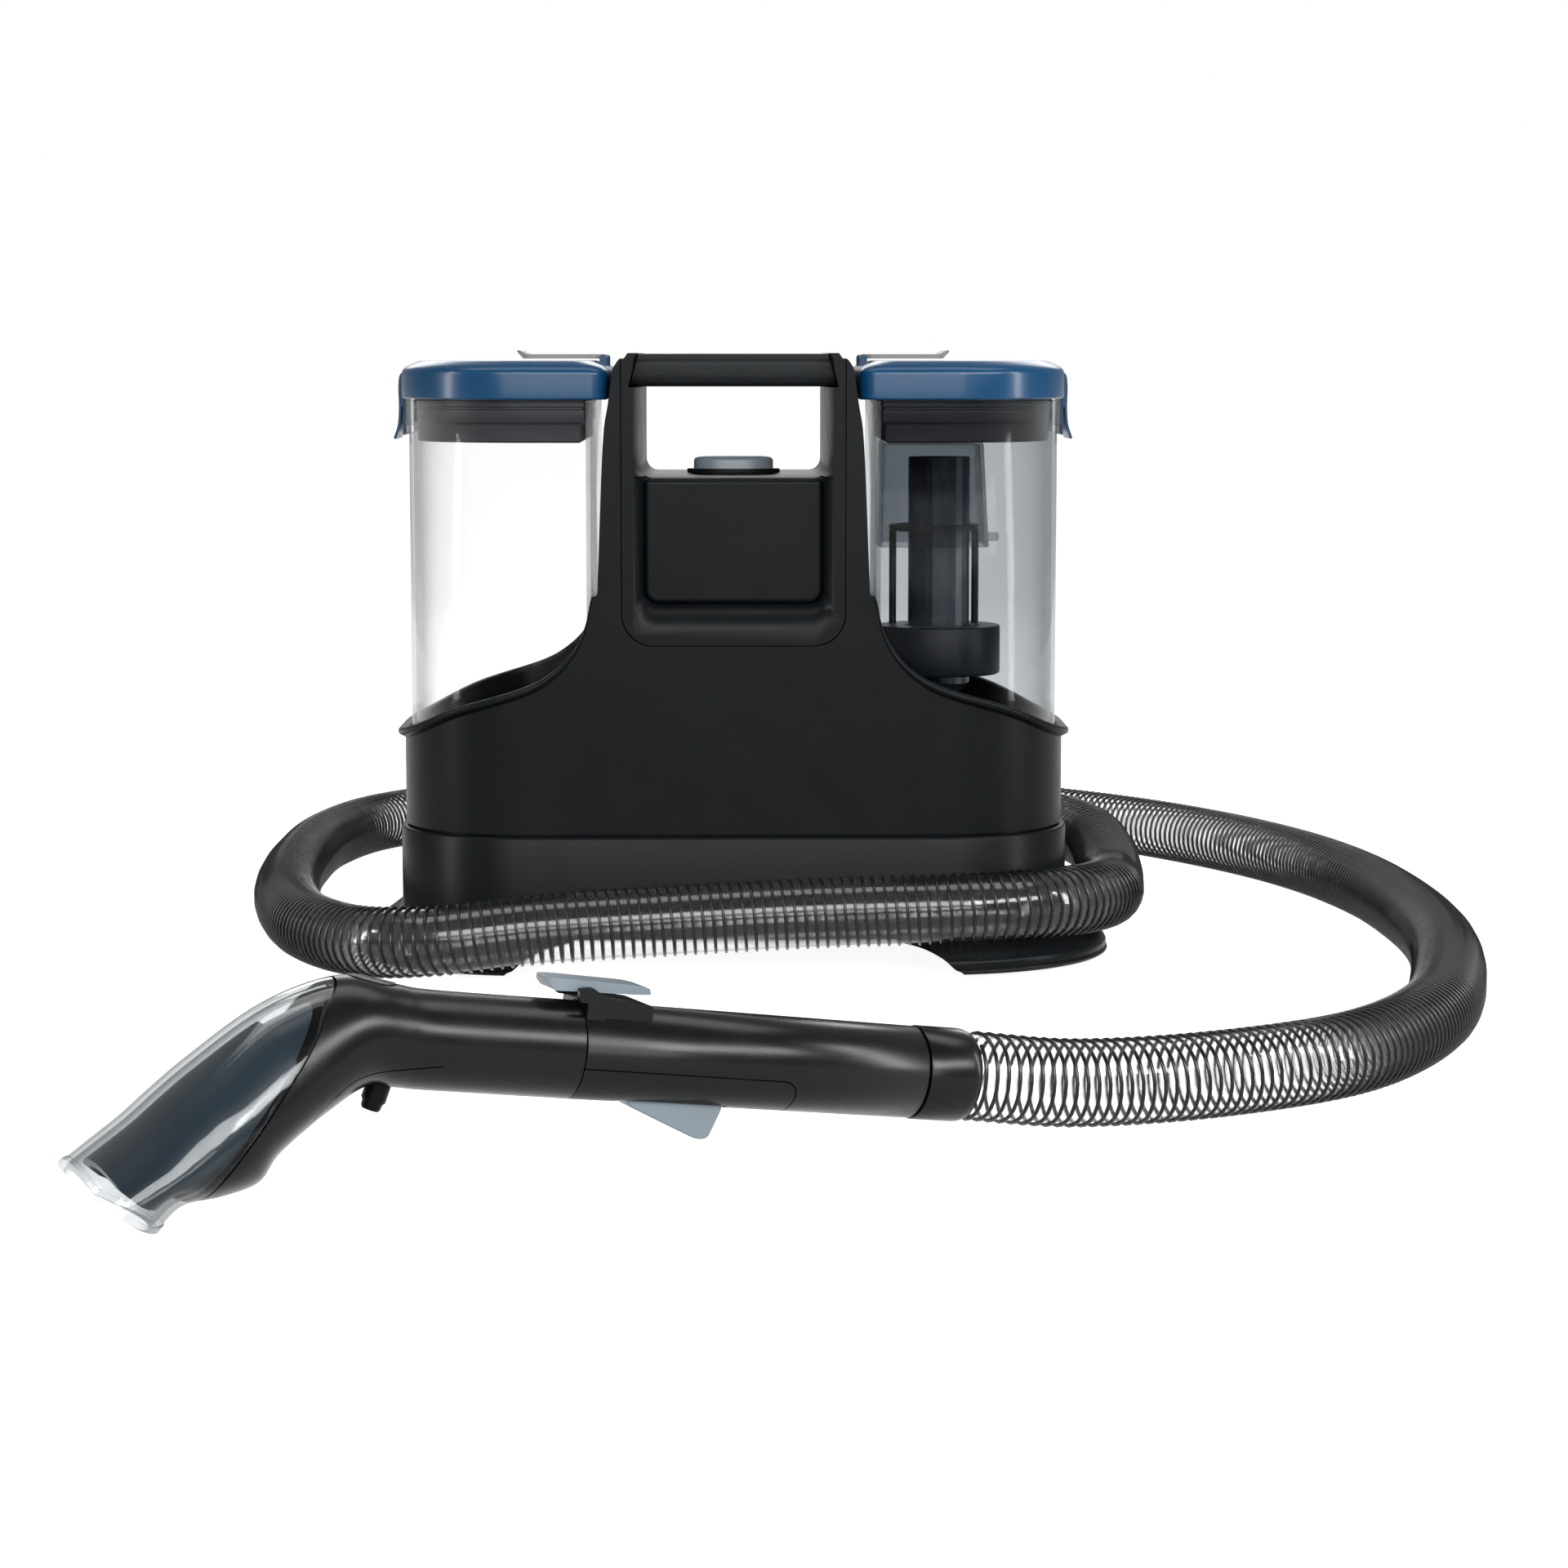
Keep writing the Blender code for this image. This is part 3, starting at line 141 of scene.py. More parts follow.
def camera():
    """The camera in front of the machine, a little above it and looking slightly down."""
    data = bpy.data.cameras.new("camera")
    data.lens, data.sensor_width = LENS, SENSOR
    made = placed("camera", data)
    made.location = CAMERA_PLACE
    made.rotation_euler = (math.radians(90 - CAMERA_DIP), 0, math.radians(CAMERA_TURN))
    scene.camera = made


def softbox(name, place, towards, width, height, watts):
    """A rectangular light at one point that faces another."""
    data = bpy.data.lights.new(name, "AREA")
    data.shape, data.size, data.size_y = "RECTANGLE", width, height
    data.energy = watts
    made = placed(name, data)
    made.location = place
    made.rotation_euler = (Vector(towards) - Vector(place)).to_track_quat("-Z", "Y").to_euler()


def studio():
    """Soft boxes over and beside the object, a white surround and a pale floor."""
    softbox("top_light", (0.0, -0.1, 1.9), (0, -0.1, 0.1), 2.4, 0.8, 30)
    softbox("key_light", (-0.1, -2.6, 1.28), (0, -0.5, 0.03), 2.6, 0.8, 110)
    softbox("side_light", (1.9, -2.4, 1.45), (-0.1, -0.6, 0.04), 2.2, 0.6, 110)
    softbox("low_light", (0.0, -3.4, 0.62), (0, -0.2, 0.05), 3.0, 0.5, 42)
    softbox("left_light", (-1.7, -0.5, 0.6), (0, 0, 0.15), 0.22, 1.1, 22)
    softbox("right_light", (1.7, -0.5, 0.6), (0, 0, 0.15), 0.22, 1.1, 22)
    softbox("back_light", (0.0, 2.4, 1.3), (0, 0, 0.15), 2.4, 0.8, 28)
    world = bpy.data.worlds.new("surround")
    world.use_nodes = True
    tree = world.node_tree
    shade = tree.nodes["Background"]
    preset(shade, Color=(1, 1, 1, 1))
    path = add(tree, "LightPath")
    level = add(tree, "MapRange", To_Min=SURROUND, To_Max=SURROUND_SEEN)
    wire(tree, (path, "Is Camera Ray", level, "Value"), (level, "Result", shade, "Strength"))
    scene.world = world
    scene.view_settings.view_transform = "Standard"
    floor = loft("floor", [[(x, y, z) for x, y in rounded((-30, -30), (30, 30), 6.0)] for z in (-0.01, 0.0)])
    paper = bpy.data.materials.new("paper")
    paper.use_nodes = True
    shader = paper.node_tree.nodes["Principled BSDF"]
    preset(shader, Roughness=0.9, Specular_IOR_Level=0.1, Emission_Color=(1, 1, 1, 1), Emission_Strength=FLOOR_GLOW)
    varied(paper.node_tree, shader, (FLOOR_GREY, FLOOR_GREY, FLOOR_GREY), 0.02, 3.0)
    floor.data.materials.append(paper)


# Materials

DRIFT, DRIFT_SCALE, GLOSS_SCALE = 0.12, 14, 45
COAT_ROUGH, CLEAR_COAT_ROUGH = 0.12, 0.1
PLASTIC_IOR, FILM_IOR = 1.5, 1.03
EDGE_POWER, EDGE_MIRROR = 3.0, 0.5  # how late a clear plastic's edge begins, and how much of it is mirror at the end


def preset(made, **values):
    """Sets a node's own sockets, named with _ for each space."""
    for name, value in values.items():
        made.inputs[name.replace("_", " ")].default_value = value


def add(tree, kind, **values):
    """A new shader node with its sockets set."""
    made = tree.nodes.new("ShaderNode" + kind)
    preset(made, **values)
    return made


def wire(tree, *links):
    """Links given as node, output, node, input."""
    for start, output, end, target in links:
        tree.links.new(start.outputs[output], end.inputs[target])


def varied(tree, shader, colour, share, scale):
    """The base colour, drifting by a share over the surface."""
    place = add(tree, "TexCoord")
    noise = add(tree, "TexNoise", Scale=scale, Detail=3)
    ramp = add(tree, "ValToRGB")
    ramp.color_ramp.elements[0].position, ramp.color_ramp.elements[1].position = 0.3, 0.7
    for element, factor in zip(ramp.color_ramp.elements, (1 - share, 1 + share)):
        element.color = (*(min(1, c * factor) for c in colour), 1)
    wire(tree, (place, "Object", noise, "Vector"), (noise, "Fac", ramp, "Fac"), (ramp, "Color", shader, "Base Color"))
    return place


def plastic(name, colour, rough, spread=0.05, grain=1400, depth=0.00003, specular=0.5, coat=0.0, metallic=0.0,
            strength=0.5):
    """Moulded plastic, rubber or metal: drifting colour, uneven gloss and a fine grain."""
    made = bpy.data.materials.new(name)
    made.use_nodes = True
    tree = made.node_tree
    shader = tree.nodes["Principled BSDF"]
    preset(shader, Metallic=metallic, Specular_IOR_Level=specular, Coat_Weight=coat, Coat_Roughness=COAT_ROUGH)
    place = varied(tree, shader, colour, DRIFT, DRIFT_SCALE)
    patches = add(tree, "TexNoise", Scale=GLOSS_SCALE, Detail=4)
    gloss = add(tree, "MapRange", From_Min=0.3, From_Max=0.7, To_Min=rough - spread, To_Max=rough + spread)
    texture = add(tree, "TexNoise", Scale=grain, Detail=2)
    bump = add(tree, "Bump", Strength=strength, Distance=depth)
    wire(tree, (place, "Object", patches, "Vector"), (place, "Object", texture, "Vector"),
         (patches, "Fac", gloss, "Value"), (gloss, "Result", shader, "Roughness"),
         (texture, "Fac", bump, "Height"), (bump, "Normal", shader, "Normal"))
    return made


def clear(name, middle, edge, rough=0.08, mirror=0.001, hazy=False):
    """Clear plastic: passes light, tinted more at its edges, under a thin mirror that grows at its edges.
    Where it is hazy, a coat takes the mirror's place and part of the light is scattered on its way through."""
    made = plastic(name, (0.9, 0.9, 0.9), rough, 0.02, 60, 0.00002, coat=float(hazy), metallic=float(not hazy),
                   strength=0.03)
    tree = made.node_tree
    shader = tree.nodes["Principled BSDF"]
    preset(shader, Transmission_Weight=float(hazy), IOR=FILM_IOR if hazy else PLASTIC_IOR,
           Coat_Roughness=CLEAR_COAT_ROUGH)
    facing = add(tree, "LayerWeight", Blend=0.5)
    curve = add(tree, "Math")
    curve.operation = "POWER"
    curve.inputs[1].default_value = EDGE_POWER
    tint = add(tree, "Mix")
    tint.data_type = "RGBA"
    preset(tint, A=(*middle, 1), B=(*edge, 1))
    see = add(tree, "BsdfTransparent")
    share = add(tree, "MapRange", To_Min=mirror, To_Max=EDGE_MIRROR)
    mix = add(tree, "MixShader")
    wire(tree, (facing, "Facing", curve, 0), (curve, 0, tint, "Factor"), (tint, "Result", see, "Color"),
         (curve, 0, share, "Value"), (share, "Result", mix, "Fac"), (see, "BSDF", mix, 1), (shader, "BSDF", mix, 2),
         (mix, "Shader", tree.nodes["Material Output"], "Surface"))
    return made


# Outlines: closed lists of points in a plane

def arc(centre, radius, start, end, steps):
    """Points on an arc between two angles in degrees, both ends among them."""
    angles = [math.radians(start + (end - start) * i / steps) for i in range(steps + 1)]
    return [(centre[0] + radius * math.cos(a), centre[1] + radius * math.sin(a)) for a in angles]


def rounded(low, high, radius, steps=8):
    """A rectangle between two corners with the same radius at all four."""
    (x0, y0), (x1, y1), r = low, high, radius
    return (arc((x1 - r, y0 + r), r, -90, 0, steps) + arc((x1 - r, y1 - r), r, 0, 90, steps)
            + arc((x0 + r, y1 - r), r, 90, 180, steps) + arc((x0 + r, y0 + r), r, 180, 270, steps))


def plan(half_x, half_y, radius, steps=24):
    """A rounded rectangle about the machine's centre."""
    return rounded((-half_x, -half_y), (half_x, half_y), radius, steps)


def end_plan(side, inner, outer, half_y, outer_r, inner_r=0.003):
    """The outline of one end of the machine, seen from above, wide corners at the outside."""
    points = (arc((outer - outer_r, -half_y + outer_r), outer_r, -90, 0, 24)
              + arc((outer - outer_r, half_y - outer_r), outer_r, 0, 90, 24)
              + arc((inner + inner_r, half_y - inner_r), inner_r, 90, 180, 6)
              + arc((inner + inner_r, -half_y + inner_r), inner_r, 180, 270, 6))
    return mirrored(points, side)


def mirrored(points, side):
    """The outline as it is for side 1, or on the -X side for side -1."""
    return points if side > 0 else [(-u, v) for u, v in reversed(points)]


def ellipse(half_x, half_y, centre=(0, 0), steps=64):
    """An ellipse, counter-clockwise from its +X end."""
    turn = 2 * math.pi / steps
    return [(centre[0] + half_x * math.cos(i * turn), centre[1] + half_y * math.sin(i * turn))
            for i in range(steps)]


def smooth(points, per=8):
    """Points on the Catmull-Rom curve through a line of points."""
    knots = [Vector(p) for p in points]
    knots = [2 * knots[0] - knots[1]] + knots + [2 * knots[-1] - knots[-2]]
    line = []
    for a, b, c, d in zip(knots, knots[1:], knots[2:], knots[3:]):
        for i in range(per):
            t = i / per
            line.append(0.5 * (2 * b + (c - a) * t + (2 * a - 5 * b + 4 * c - d) * t ** 2
                               + (3 * b - a - 3 * c + d) * t ** 3))
    return [tuple(p) for p in line + [knots[-2]]]


def evenly(points, spacing):
    """The same line with evenly spaced points."""
    line = [Vector(p) for p in points]
    steps = [(q - p).length for p, q in zip(line, line[1:])]
    count = max(2, round(sum(steps) / spacing))
    wanted = sum(steps) / count
    path, travelled = [line[0]], 0.0
    for p, q, step in zip(line, line[1:], steps):
        while travelled + step >= wanted * len(path) - 1e-9 and len(path) < count:
            path.append(p.lerp(q, (wanted * len(path) - travelled) / step))
        travelled += step
    return path + [line[-1]]


def fillet(points, radius, steps=6):
    """The outline with its corners rounded."""
    line = [Vector(p) for p in points]
    done = []
    for before, corner, after in zip([line[-1]] + line, line, line[1:] + [line[0]]):
        back, ahead = before - corner, after - corner
        reach = min(radius, back.length * 0.45, ahead.length * 0.45)
        start, end = corner + back.normalized() * reach, corner + ahead.normalized() * reach
        for i in range(steps + 1):
            t = i / steps
            done.append(tuple((1 - t) ** 2 * start + 2 * t * (1 - t) * corner + t ** 2 * end))
    return done


# Meshes

PUT = {"X": lambda u, v, w: (w, u, v), "Y": lambda u, v, w: (u, w, v), "Z": lambda u, v, w: (u, v, w)}


def skinned(name, shape):
    """A new object from a bmesh, which is freed."""
    bmesh.ops.recalc_face_normals(shape, faces=shape.faces)
    mesh = bpy.data.meshes.new(name)
    shape.to_mesh(mesh)
    shape.free()
    return placed(name, mesh)


def loft(name, rings, closed=False):
    """A skin through rings of equally many points, capped at its ends or closed onto its first ring."""
    shape = bmesh.new()
    rows = [[shape.verts.new(p) for p in ring] for ring in rings]
    pairs = list(zip(rows, rows[1:])) + ([(rows[-1], rows[0])] if closed else [])
    for low, high in pairs:
        for i in range(len(low)):
            j = (i + 1) % len(low)
            shape.faces.new((low[i], low[j], high[j], high[i]))
    if not closed:
        shape.faces.new(list(reversed(rows[0])))
        shape.faces.new(rows[-1])
    return skinned(name, shape)


def plate(name, outline, low, high, axis="Z"):
    """A flat outline given a thickness, from low to high along an axis."""
    return loft(name, [[PUT[axis](u, v, w) for u, v in outline] for w in (low, high)])


def box(name, low, high):
    """A box between two corners, for cutting and joining."""
    return plate(name, [(low[0], low[1]), (high[0], low[1]), (high[0], high[1]), (low[0], high[1])], low[2], high[2])


def stack(name, ring, profile):
    """A loft through ring(inset) at the (inset, height) pairs of a profile."""
    return loft(name, [[(x, y, z) for x, y in ring(inset)] for inset, z in profile])


def turned(name, profile, centre=(0, 0), axis="Z", steps=64):
    """A closed profile of radius and place along an axis, turned about it."""
    turn = 2 * math.pi / steps
    rings = [[PUT[axis](centre[0] + r * math.cos(i * turn), centre[1] + r * math.sin(i * turn), w)
              for r, w in profile] for i in range(steps)]
    return loft(name, rings, closed=True)


def rod(name, radius, low, high, centre=(0, 0), axis="Z", steps=64):
    """A round bar from low to high along an axis, for cutting."""
    return turned(name, [(0, low), (radius, low), (radius, high), (0, high)], centre, axis, steps)


def frames(path):
    """Each point of a path with its direction and two steady directions square to it."""
    line = [Vector(p) for p in path]
    ahead = (line[1] - line[0]).normalized()
    up = Vector((0, 0, 1)) if abs(ahead.z) < 0.9 else Vector((1, 0, 0))
    found = []
    for i, point in enumerate(line):
        ahead = (line[min(i + 1, len(line) - 1)] - line[max(i - 1, 0)]).normalized()
        up = (up - ahead * up.dot(ahead)).normalized()
        found.append((point, ahead, up, ahead.cross(up)))
    return found


def tube(name, path, radius, steps=32):
    """A round bar along a path; radius is a number or a list of one per point."""
    radii = radius if isinstance(radius, list) else [radius] * len(path)
    turn = 2 * math.pi / steps
    rings = [[point + r * (math.cos(k * turn) * up + math.sin(k * turn) * across) for k in range(steps)]
             for (point, _, up, across), r in zip(frames(path), radii)]
    return loft(name, rings)


def applied(obj):
    """The object with its modifiers worked into its mesh."""
    mesh = bpy.data.meshes.new_from_object(obj.evaluated_get(bpy.context.evaluated_depsgraph_get()))
    obj.modifiers.clear()
    obj.data = mesh
    return obj


def combine(target, others, operation):
    """The target joined with, cut by or cut down to the others, which are used up."""
    for other in others:
        modifier = target.modifiers.new("combine", "BOOLEAN")
        modifier.operation, modifier.object, modifier.solver = operation, other, "EXACT"
        applied(target)
        bpy.data.objects.remove(other)
    return target


def cut(target, *others):
    return combine(target, others, "DIFFERENCE")


def join(target, *others):
    return combine(target, others, "UNION")


def keep(target, other):
    return combine(target, [other], "INTERSECT")


def show(obj, body, look, *nodes, slot="black_plastic", edge=0.0, segments=2, angle=30):
    """Gives a piece rounded edges, its material and its body, and hides the CAD nodes it stands for."""
    obj.data.materials.clear()
    obj.data.materials.append(look)
    if edge:
        obj.data.shade_smooth()
        bevel = obj.modifiers.new("edges", "BEVEL")
        bevel.width, bevel.segments = edge, segments
        bevel.limit_method, bevel.angle_limit = "ANGLE", math.radians(angle)
        bevel.harden_normals = True
        applied(obj)
    else:
        obj.data.shade_smooth()
        obj.data.set_sharp_from_angle(angle=math.radians(angle))
    if nodes:
        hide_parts(*nodes)
    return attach(obj, body)


def dress(look, edge, *nodes):
    """Carried-over CAD nodes with a new material, smooth shading and rounded edges."""
    for node in nodes:
        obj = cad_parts[node]
        obj.data.materials.clear()
        obj.data.materials.append(look)
        obj.data.shade_smooth()
        obj.data.set_sharp_from_angle(angle=math.radians(32))
        if edge:
            bevel = obj.modifiers.new("edges", "BEVEL")
            bevel.width, bevel.segments, bevel.angle_limit = edge, 2, math.radians(40)
            bevel.limit_method = "ANGLE"


# Hose

RIB_SIDES, RIB_STEPS = 5, 24  # round the rib itself, and along one turn of it


def hose():
    """A clear film wound with a dark rib, from the elbow round the machine to the wand."""
    path = evenly(smooth(HOSE_ROUTE, 20), 0.01)
    film = hose_film(path)
    lengths = [0.0]
    for p, q in zip(path, path[1:]):
        lengths.append(lengths[-1] + (q - p).length)
    return film, hose_rib(path, lengths), lengths[-1]


def hose_film(path):
    """The film between the ribs, a tube just inside them."""
    curve = bpy.data.curves.new("hose_film", "CURVE")
    curve.dimensions = "3D"
    curve.bevel_depth = HOSE_R - 1.6 * RIB_R
    curve.bevel_resolution = 8
    spline = curve.splines.new("POLY")
    spline.points.add(len(path) - 1)
    for point, place in zip(spline.points, path):
        point.co = (*place, 1)
    spline.use_smooth = True
    film = placed("hose_film", curve)
    curve.materials.append(FILM)
    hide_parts("suction_hose")
    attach(film, "housing")
    return film


def hose_rib(path, lengths):
    """One round rib wound along the whole path; lengths gives how far along it each point is."""
    total = int(lengths[-1] / RIB_PITCH * RIB_STEPS)
    found = frames(path)
    shape = bmesh.new()
    rows, k = [], 0
    for i in range(total + 1):
        along = i * RIB_PITCH / RIB_STEPS
        while k < len(path) - 2 and lengths[k + 1] < along:
            k += 1
        t = (along - lengths[k]) / (lengths[k + 1] - lengths[k])
        (p, ahead, up, across), (q, ahead2, up2, across2) = found[k], found[k + 1]
        centre, ahead = p.lerp(q, t), ahead.lerp(ahead2, t)
        turn = 2 * math.pi * i / RIB_STEPS
        out = math.cos(turn) * up.lerp(up2, t) + math.sin(turn) * across.lerp(across2, t)
        row = []
        for j in range(RIB_SIDES):
            around = 2 * math.pi * j / RIB_SIDES
            place = (centre + out * (HOSE_R - RIB_R + RIB_R * math.cos(around))
                     + ahead * RIB_R * math.sin(around))
            row.append(shape.verts.new(place))
        rows.append(row)
    for low, high in zip(rows, rows[1:]):
        for j in range(RIB_SIDES):
            after = (j + 1) % RIB_SIDES
            shape.faces.new((low[j], low[after], high[after], high[j]))
    rib = skinned("hose_rib", shape)
    show(rib, "housing", RIB, slot="hose_plastic", angle=80)
    return rib


def hose_port():
    """The swivel elbow on the back of the skirt."""
    flange = SKIRT_Y + GAP
    bend = arc((PORT_END[0] - 0.01, flange + 0.0552), 0.045, 180, 90, 16)
    line = [(0, flange + 0.002, PORT_MOUTH_Z), (0, flange + 0.03, PORT_Z - 0.003)]
    line += [(x, y, PORT_Z) for x, y in bend[4:]] + [(PORT_END[0] - GAP, PORT_END[1], PORT_Z)]
    line = evenly(smooth(line, 8), 0.004)
    radii = [HOSE_R + 0.0015 - 0.0004 * (0.5 + 0.5 * math.cos(i * 1.1)) for i in range(len(line))]
    elbow = tube("port_elbow", line, radii, 48)
    profile = [(0.001, flange), (0.0245, flange), (0.0245, flange + 0.003), (0.0232, flange + 0.0044),
               (0.001, flange + 0.0044)]
    collar = turned("port_flange", profile, (0, 0.047), "Y", 64)
    join(elbow, collar)
    cut(elbow, tube("port_bore", [(0, flange - 0.01, PORT_MOUTH_Z)] + line[1:-1]
                    + [(PORT_END[0] + 0.01, PORT_END[1], PORT_Z)], 0.016, 32))
    return show(elbow, "housing", BLACK, "hose_port", edge=0.0003, angle=45)


# Housing

def main_housing():
    """Upper body and column: swooping rim, two tank wells and a slot for the handle frame."""
    rim = smooth(SWOOP, 8)
    right = (smooth([(0.051, TOP_Z), (0.0592, 0.3268), (0.0634, 0.3215)], 4)
             + smooth([(0.0634, 0.3215), (0.0662, 0.302), (0.069, 0.28), (0.0722, 0.2017)], 4)[1:]
             + rim + [(0.19, 0.1236), (0.19, 0.06)])
    silhouette = right + [(-x, z) for x, z in reversed(right)]
    low = SEAM_Z + SEAM
    body = plate("body_shell", plan(BODY_X, BODY_Y, BODY_R), low, TOP_Z)
    keep(body, plate("front_view", silhouette, *THROUGH, "Y"))
    cut(body, *(plate("tank_well", end_plan(side, COLUMN_IN, BODY_X - WALL, BODY_Y - WALL, BODY_R - WALL),
                      DECK_Z, TOP_Z + 0.01) for side in (-1, 1)))
    cut(body, plate("under_deck", plan(BODY_X - WALL, BODY_Y - WALL, BODY_R - WALL), low - 0.01, DECK_Z - DECK_T))
    slot = rounded((-FRAME_X - FIT, FRAME_Z - FIT), (FRAME_X + FIT, TOP_Z + 0.02), FRAME_R)
    cut(body, plate("frame_slot", slot, *THROUGH, "Y"))
    cut(body, rod("clean_outlet", 0.007, 0.07, 0.1, (OUTLET_X, 0)), rod("dirty_inlet", 0.0115, 0.07, 0.1, (PIPE_X, 0)))
    show(body, "housing", BLACK, "main_housing", edge=0.0006, angle=40)


def rim_height(x):
    """How high the rim is at a distance from the machine's middle."""
    line = smooth(SWOOP, 8)
    for (x0, z0), (x1, z1) in zip(line, line[1:]):
        if x <= x1:
            return z0 + (z1 - z0) * (x - x0) / (x1 - x0)
    return line[-1][1]


def rim_lip(name, side):
    """The rolled lip that flares out along the rim of one tank well."""
    wide = [Vector(p) for p in arc((BODY_X - BODY_R, -BODY_Y + BODY_R), BODY_R, -90, 0, 30)]
    path = [Vector((x, -BODY_Y)) for x, _ in smooth(SWOOP, 6) if x < BODY_X - BODY_R - 0.002] + wide
    path += [Vector((p.x, -p.y)) for p in reversed(path)]
    rings = []
    for i, p in enumerate(path):
        ahead = (path[min(i + 1, len(path) - 1)] - path[max(i - 1, 0)]).normalized()
        out = Vector((ahead.y, -ahead.x))
        x = min(p.x, BODY_X)
        z = rim_height(x)
        flare = 0.001 + 0.003 * min(1, max(0, (x - 0.078) / 0.06))
        roll = max(flare - LIP_R, -0.0005)
        section = ([(-WALL, -0.003), (-WALL, 0.0006), (-WALL + 0.0006, 0.0014), (-0.0006, LIP_R - 0.0002)]
                   + arc((roll, -0.0002), LIP_R, 90, -75, 9) + [(-0.0002, -0.0036), (-0.0012, -0.004)])
        rings.append([(side * (p.x + out.x * o), p.y + out.y * o, z + dz) for o, dz in section])
    lip = loft(name, rings)
    show(lip, "housing", BLACK, angle=60)


def lower_housing():
    """The skirt under the seam, open inside, with its ports at the back."""
    profile = [(0.0008, FLOOR_Z), (0.0, FLOOR_Z + 0.0008), (0.0, SEAM_Z - 0.0014), (0.0004, SEAM_Z - 0.0005),
               (0.0013, SEAM_Z)]
    skirt = stack("skirt", lambda inset: plan(SKIRT_X - inset, SKIRT_Y - inset, SKIRT_R - inset), profile)
    shrink = WALL + GAP
    tongue = plan(BODY_X - shrink, BODY_Y - shrink, BODY_R - shrink)
    join(skirt, plate("tongue", tongue, SEAM_Z - 0.004, SEAM_Z + 0.0065))
    inner = shrink + 0.0017
    cut(skirt, plate("tray", plan(BODY_X - inner, BODY_Y - inner, BODY_R - inner), FLOOR_Z + 0.003, SEAM_Z + 0.02))
    cut(skirt, rod("port_hole", 0.0165, 0.08, 0.11, (0, PORT_MOUTH_Z), "Y"))
    cut(skirt, box("grille_hole", (0.0397, 0.08, 0.0317), (0.0903, 0.11, 0.0603)))
    cut(skirt, box("inlet_hole", (-0.0903, 0.08, 0.0367), (-0.0597, 0.11, 0.0593)))
    show(skirt, "housing", BLACK, "lower_housing", angle=40)


def foot(name, node, side):
    """A flange under one end, sloped on top to cradle the hose, with a bead round its lower edge."""
    profile = [(0.0034, FOOT_LOW), (0.0018, FOOT_LOW + 0.0002), (0.0006, FOOT_LOW + 0.0009),
               (0.0, FOOT_LOW + 0.002), (0.0003, FOOT_LOW + 0.003), (0.001, FOOT_LOW + 0.0037),
               (0.0007, FOOT_EDGE - 0.0015), (0.0014, FOOT_EDGE), (0.0045, FOOT_EDGE + 0.003),
               (FOOT_X - SKIRT_X - 0.0035, FOOT_TOP - 0.0012), (FOOT_X - SKIRT_X - 0.001, FOOT_TOP)]

    def ring(inset):
        depth = inset * (FOOT_Y - SKIRT_Y) / (FOOT_X - SKIRT_X)
        return plan(FOOT_X - inset, FOOT_Y - max(depth, min(inset, 0.001)), FOOT_R - inset)

    made = stack(name, ring, profile)
    skirt = plan(SKIRT_X + GAP, SKIRT_Y + GAP, SKIRT_R + GAP)
    cut(made, plate("skirt_seat", skirt, FLOOR_Z - GAP, 0.05))
    slope = smooth([(FOOT_IN + 0.024, -0.01), (FOOT_IN + 0.0215, FOOT_LOW), (FOOT_IN + 0.0165, 0.0058),
                    (FOOT_IN + 0.0105, 0.011), (FOOT_IN, 0.0158), (FOOT_IN - 0.014, 0.019)], 6)
    middle = [(-0.25, -0.01)] + slope + [(FOOT_IN - 0.016, 0.05), (-0.25, 0.05)]
    cut(made, plate("between_feet", mirrored(middle, side), -0.2, 0.2, "Y"))
    show(made, "housing", BLACK, node, edge=0.0005, angle=38)


def tub(half, low, radius, top):
    """A pocket's outline: rounded below, open at the top."""
    return (arc((half - radius, low + radius), radius, -90, 0, 8) + [(half, top), (-half, top)]
            + arc((-half + radius, low + radius), radius, 180, 270, 8))


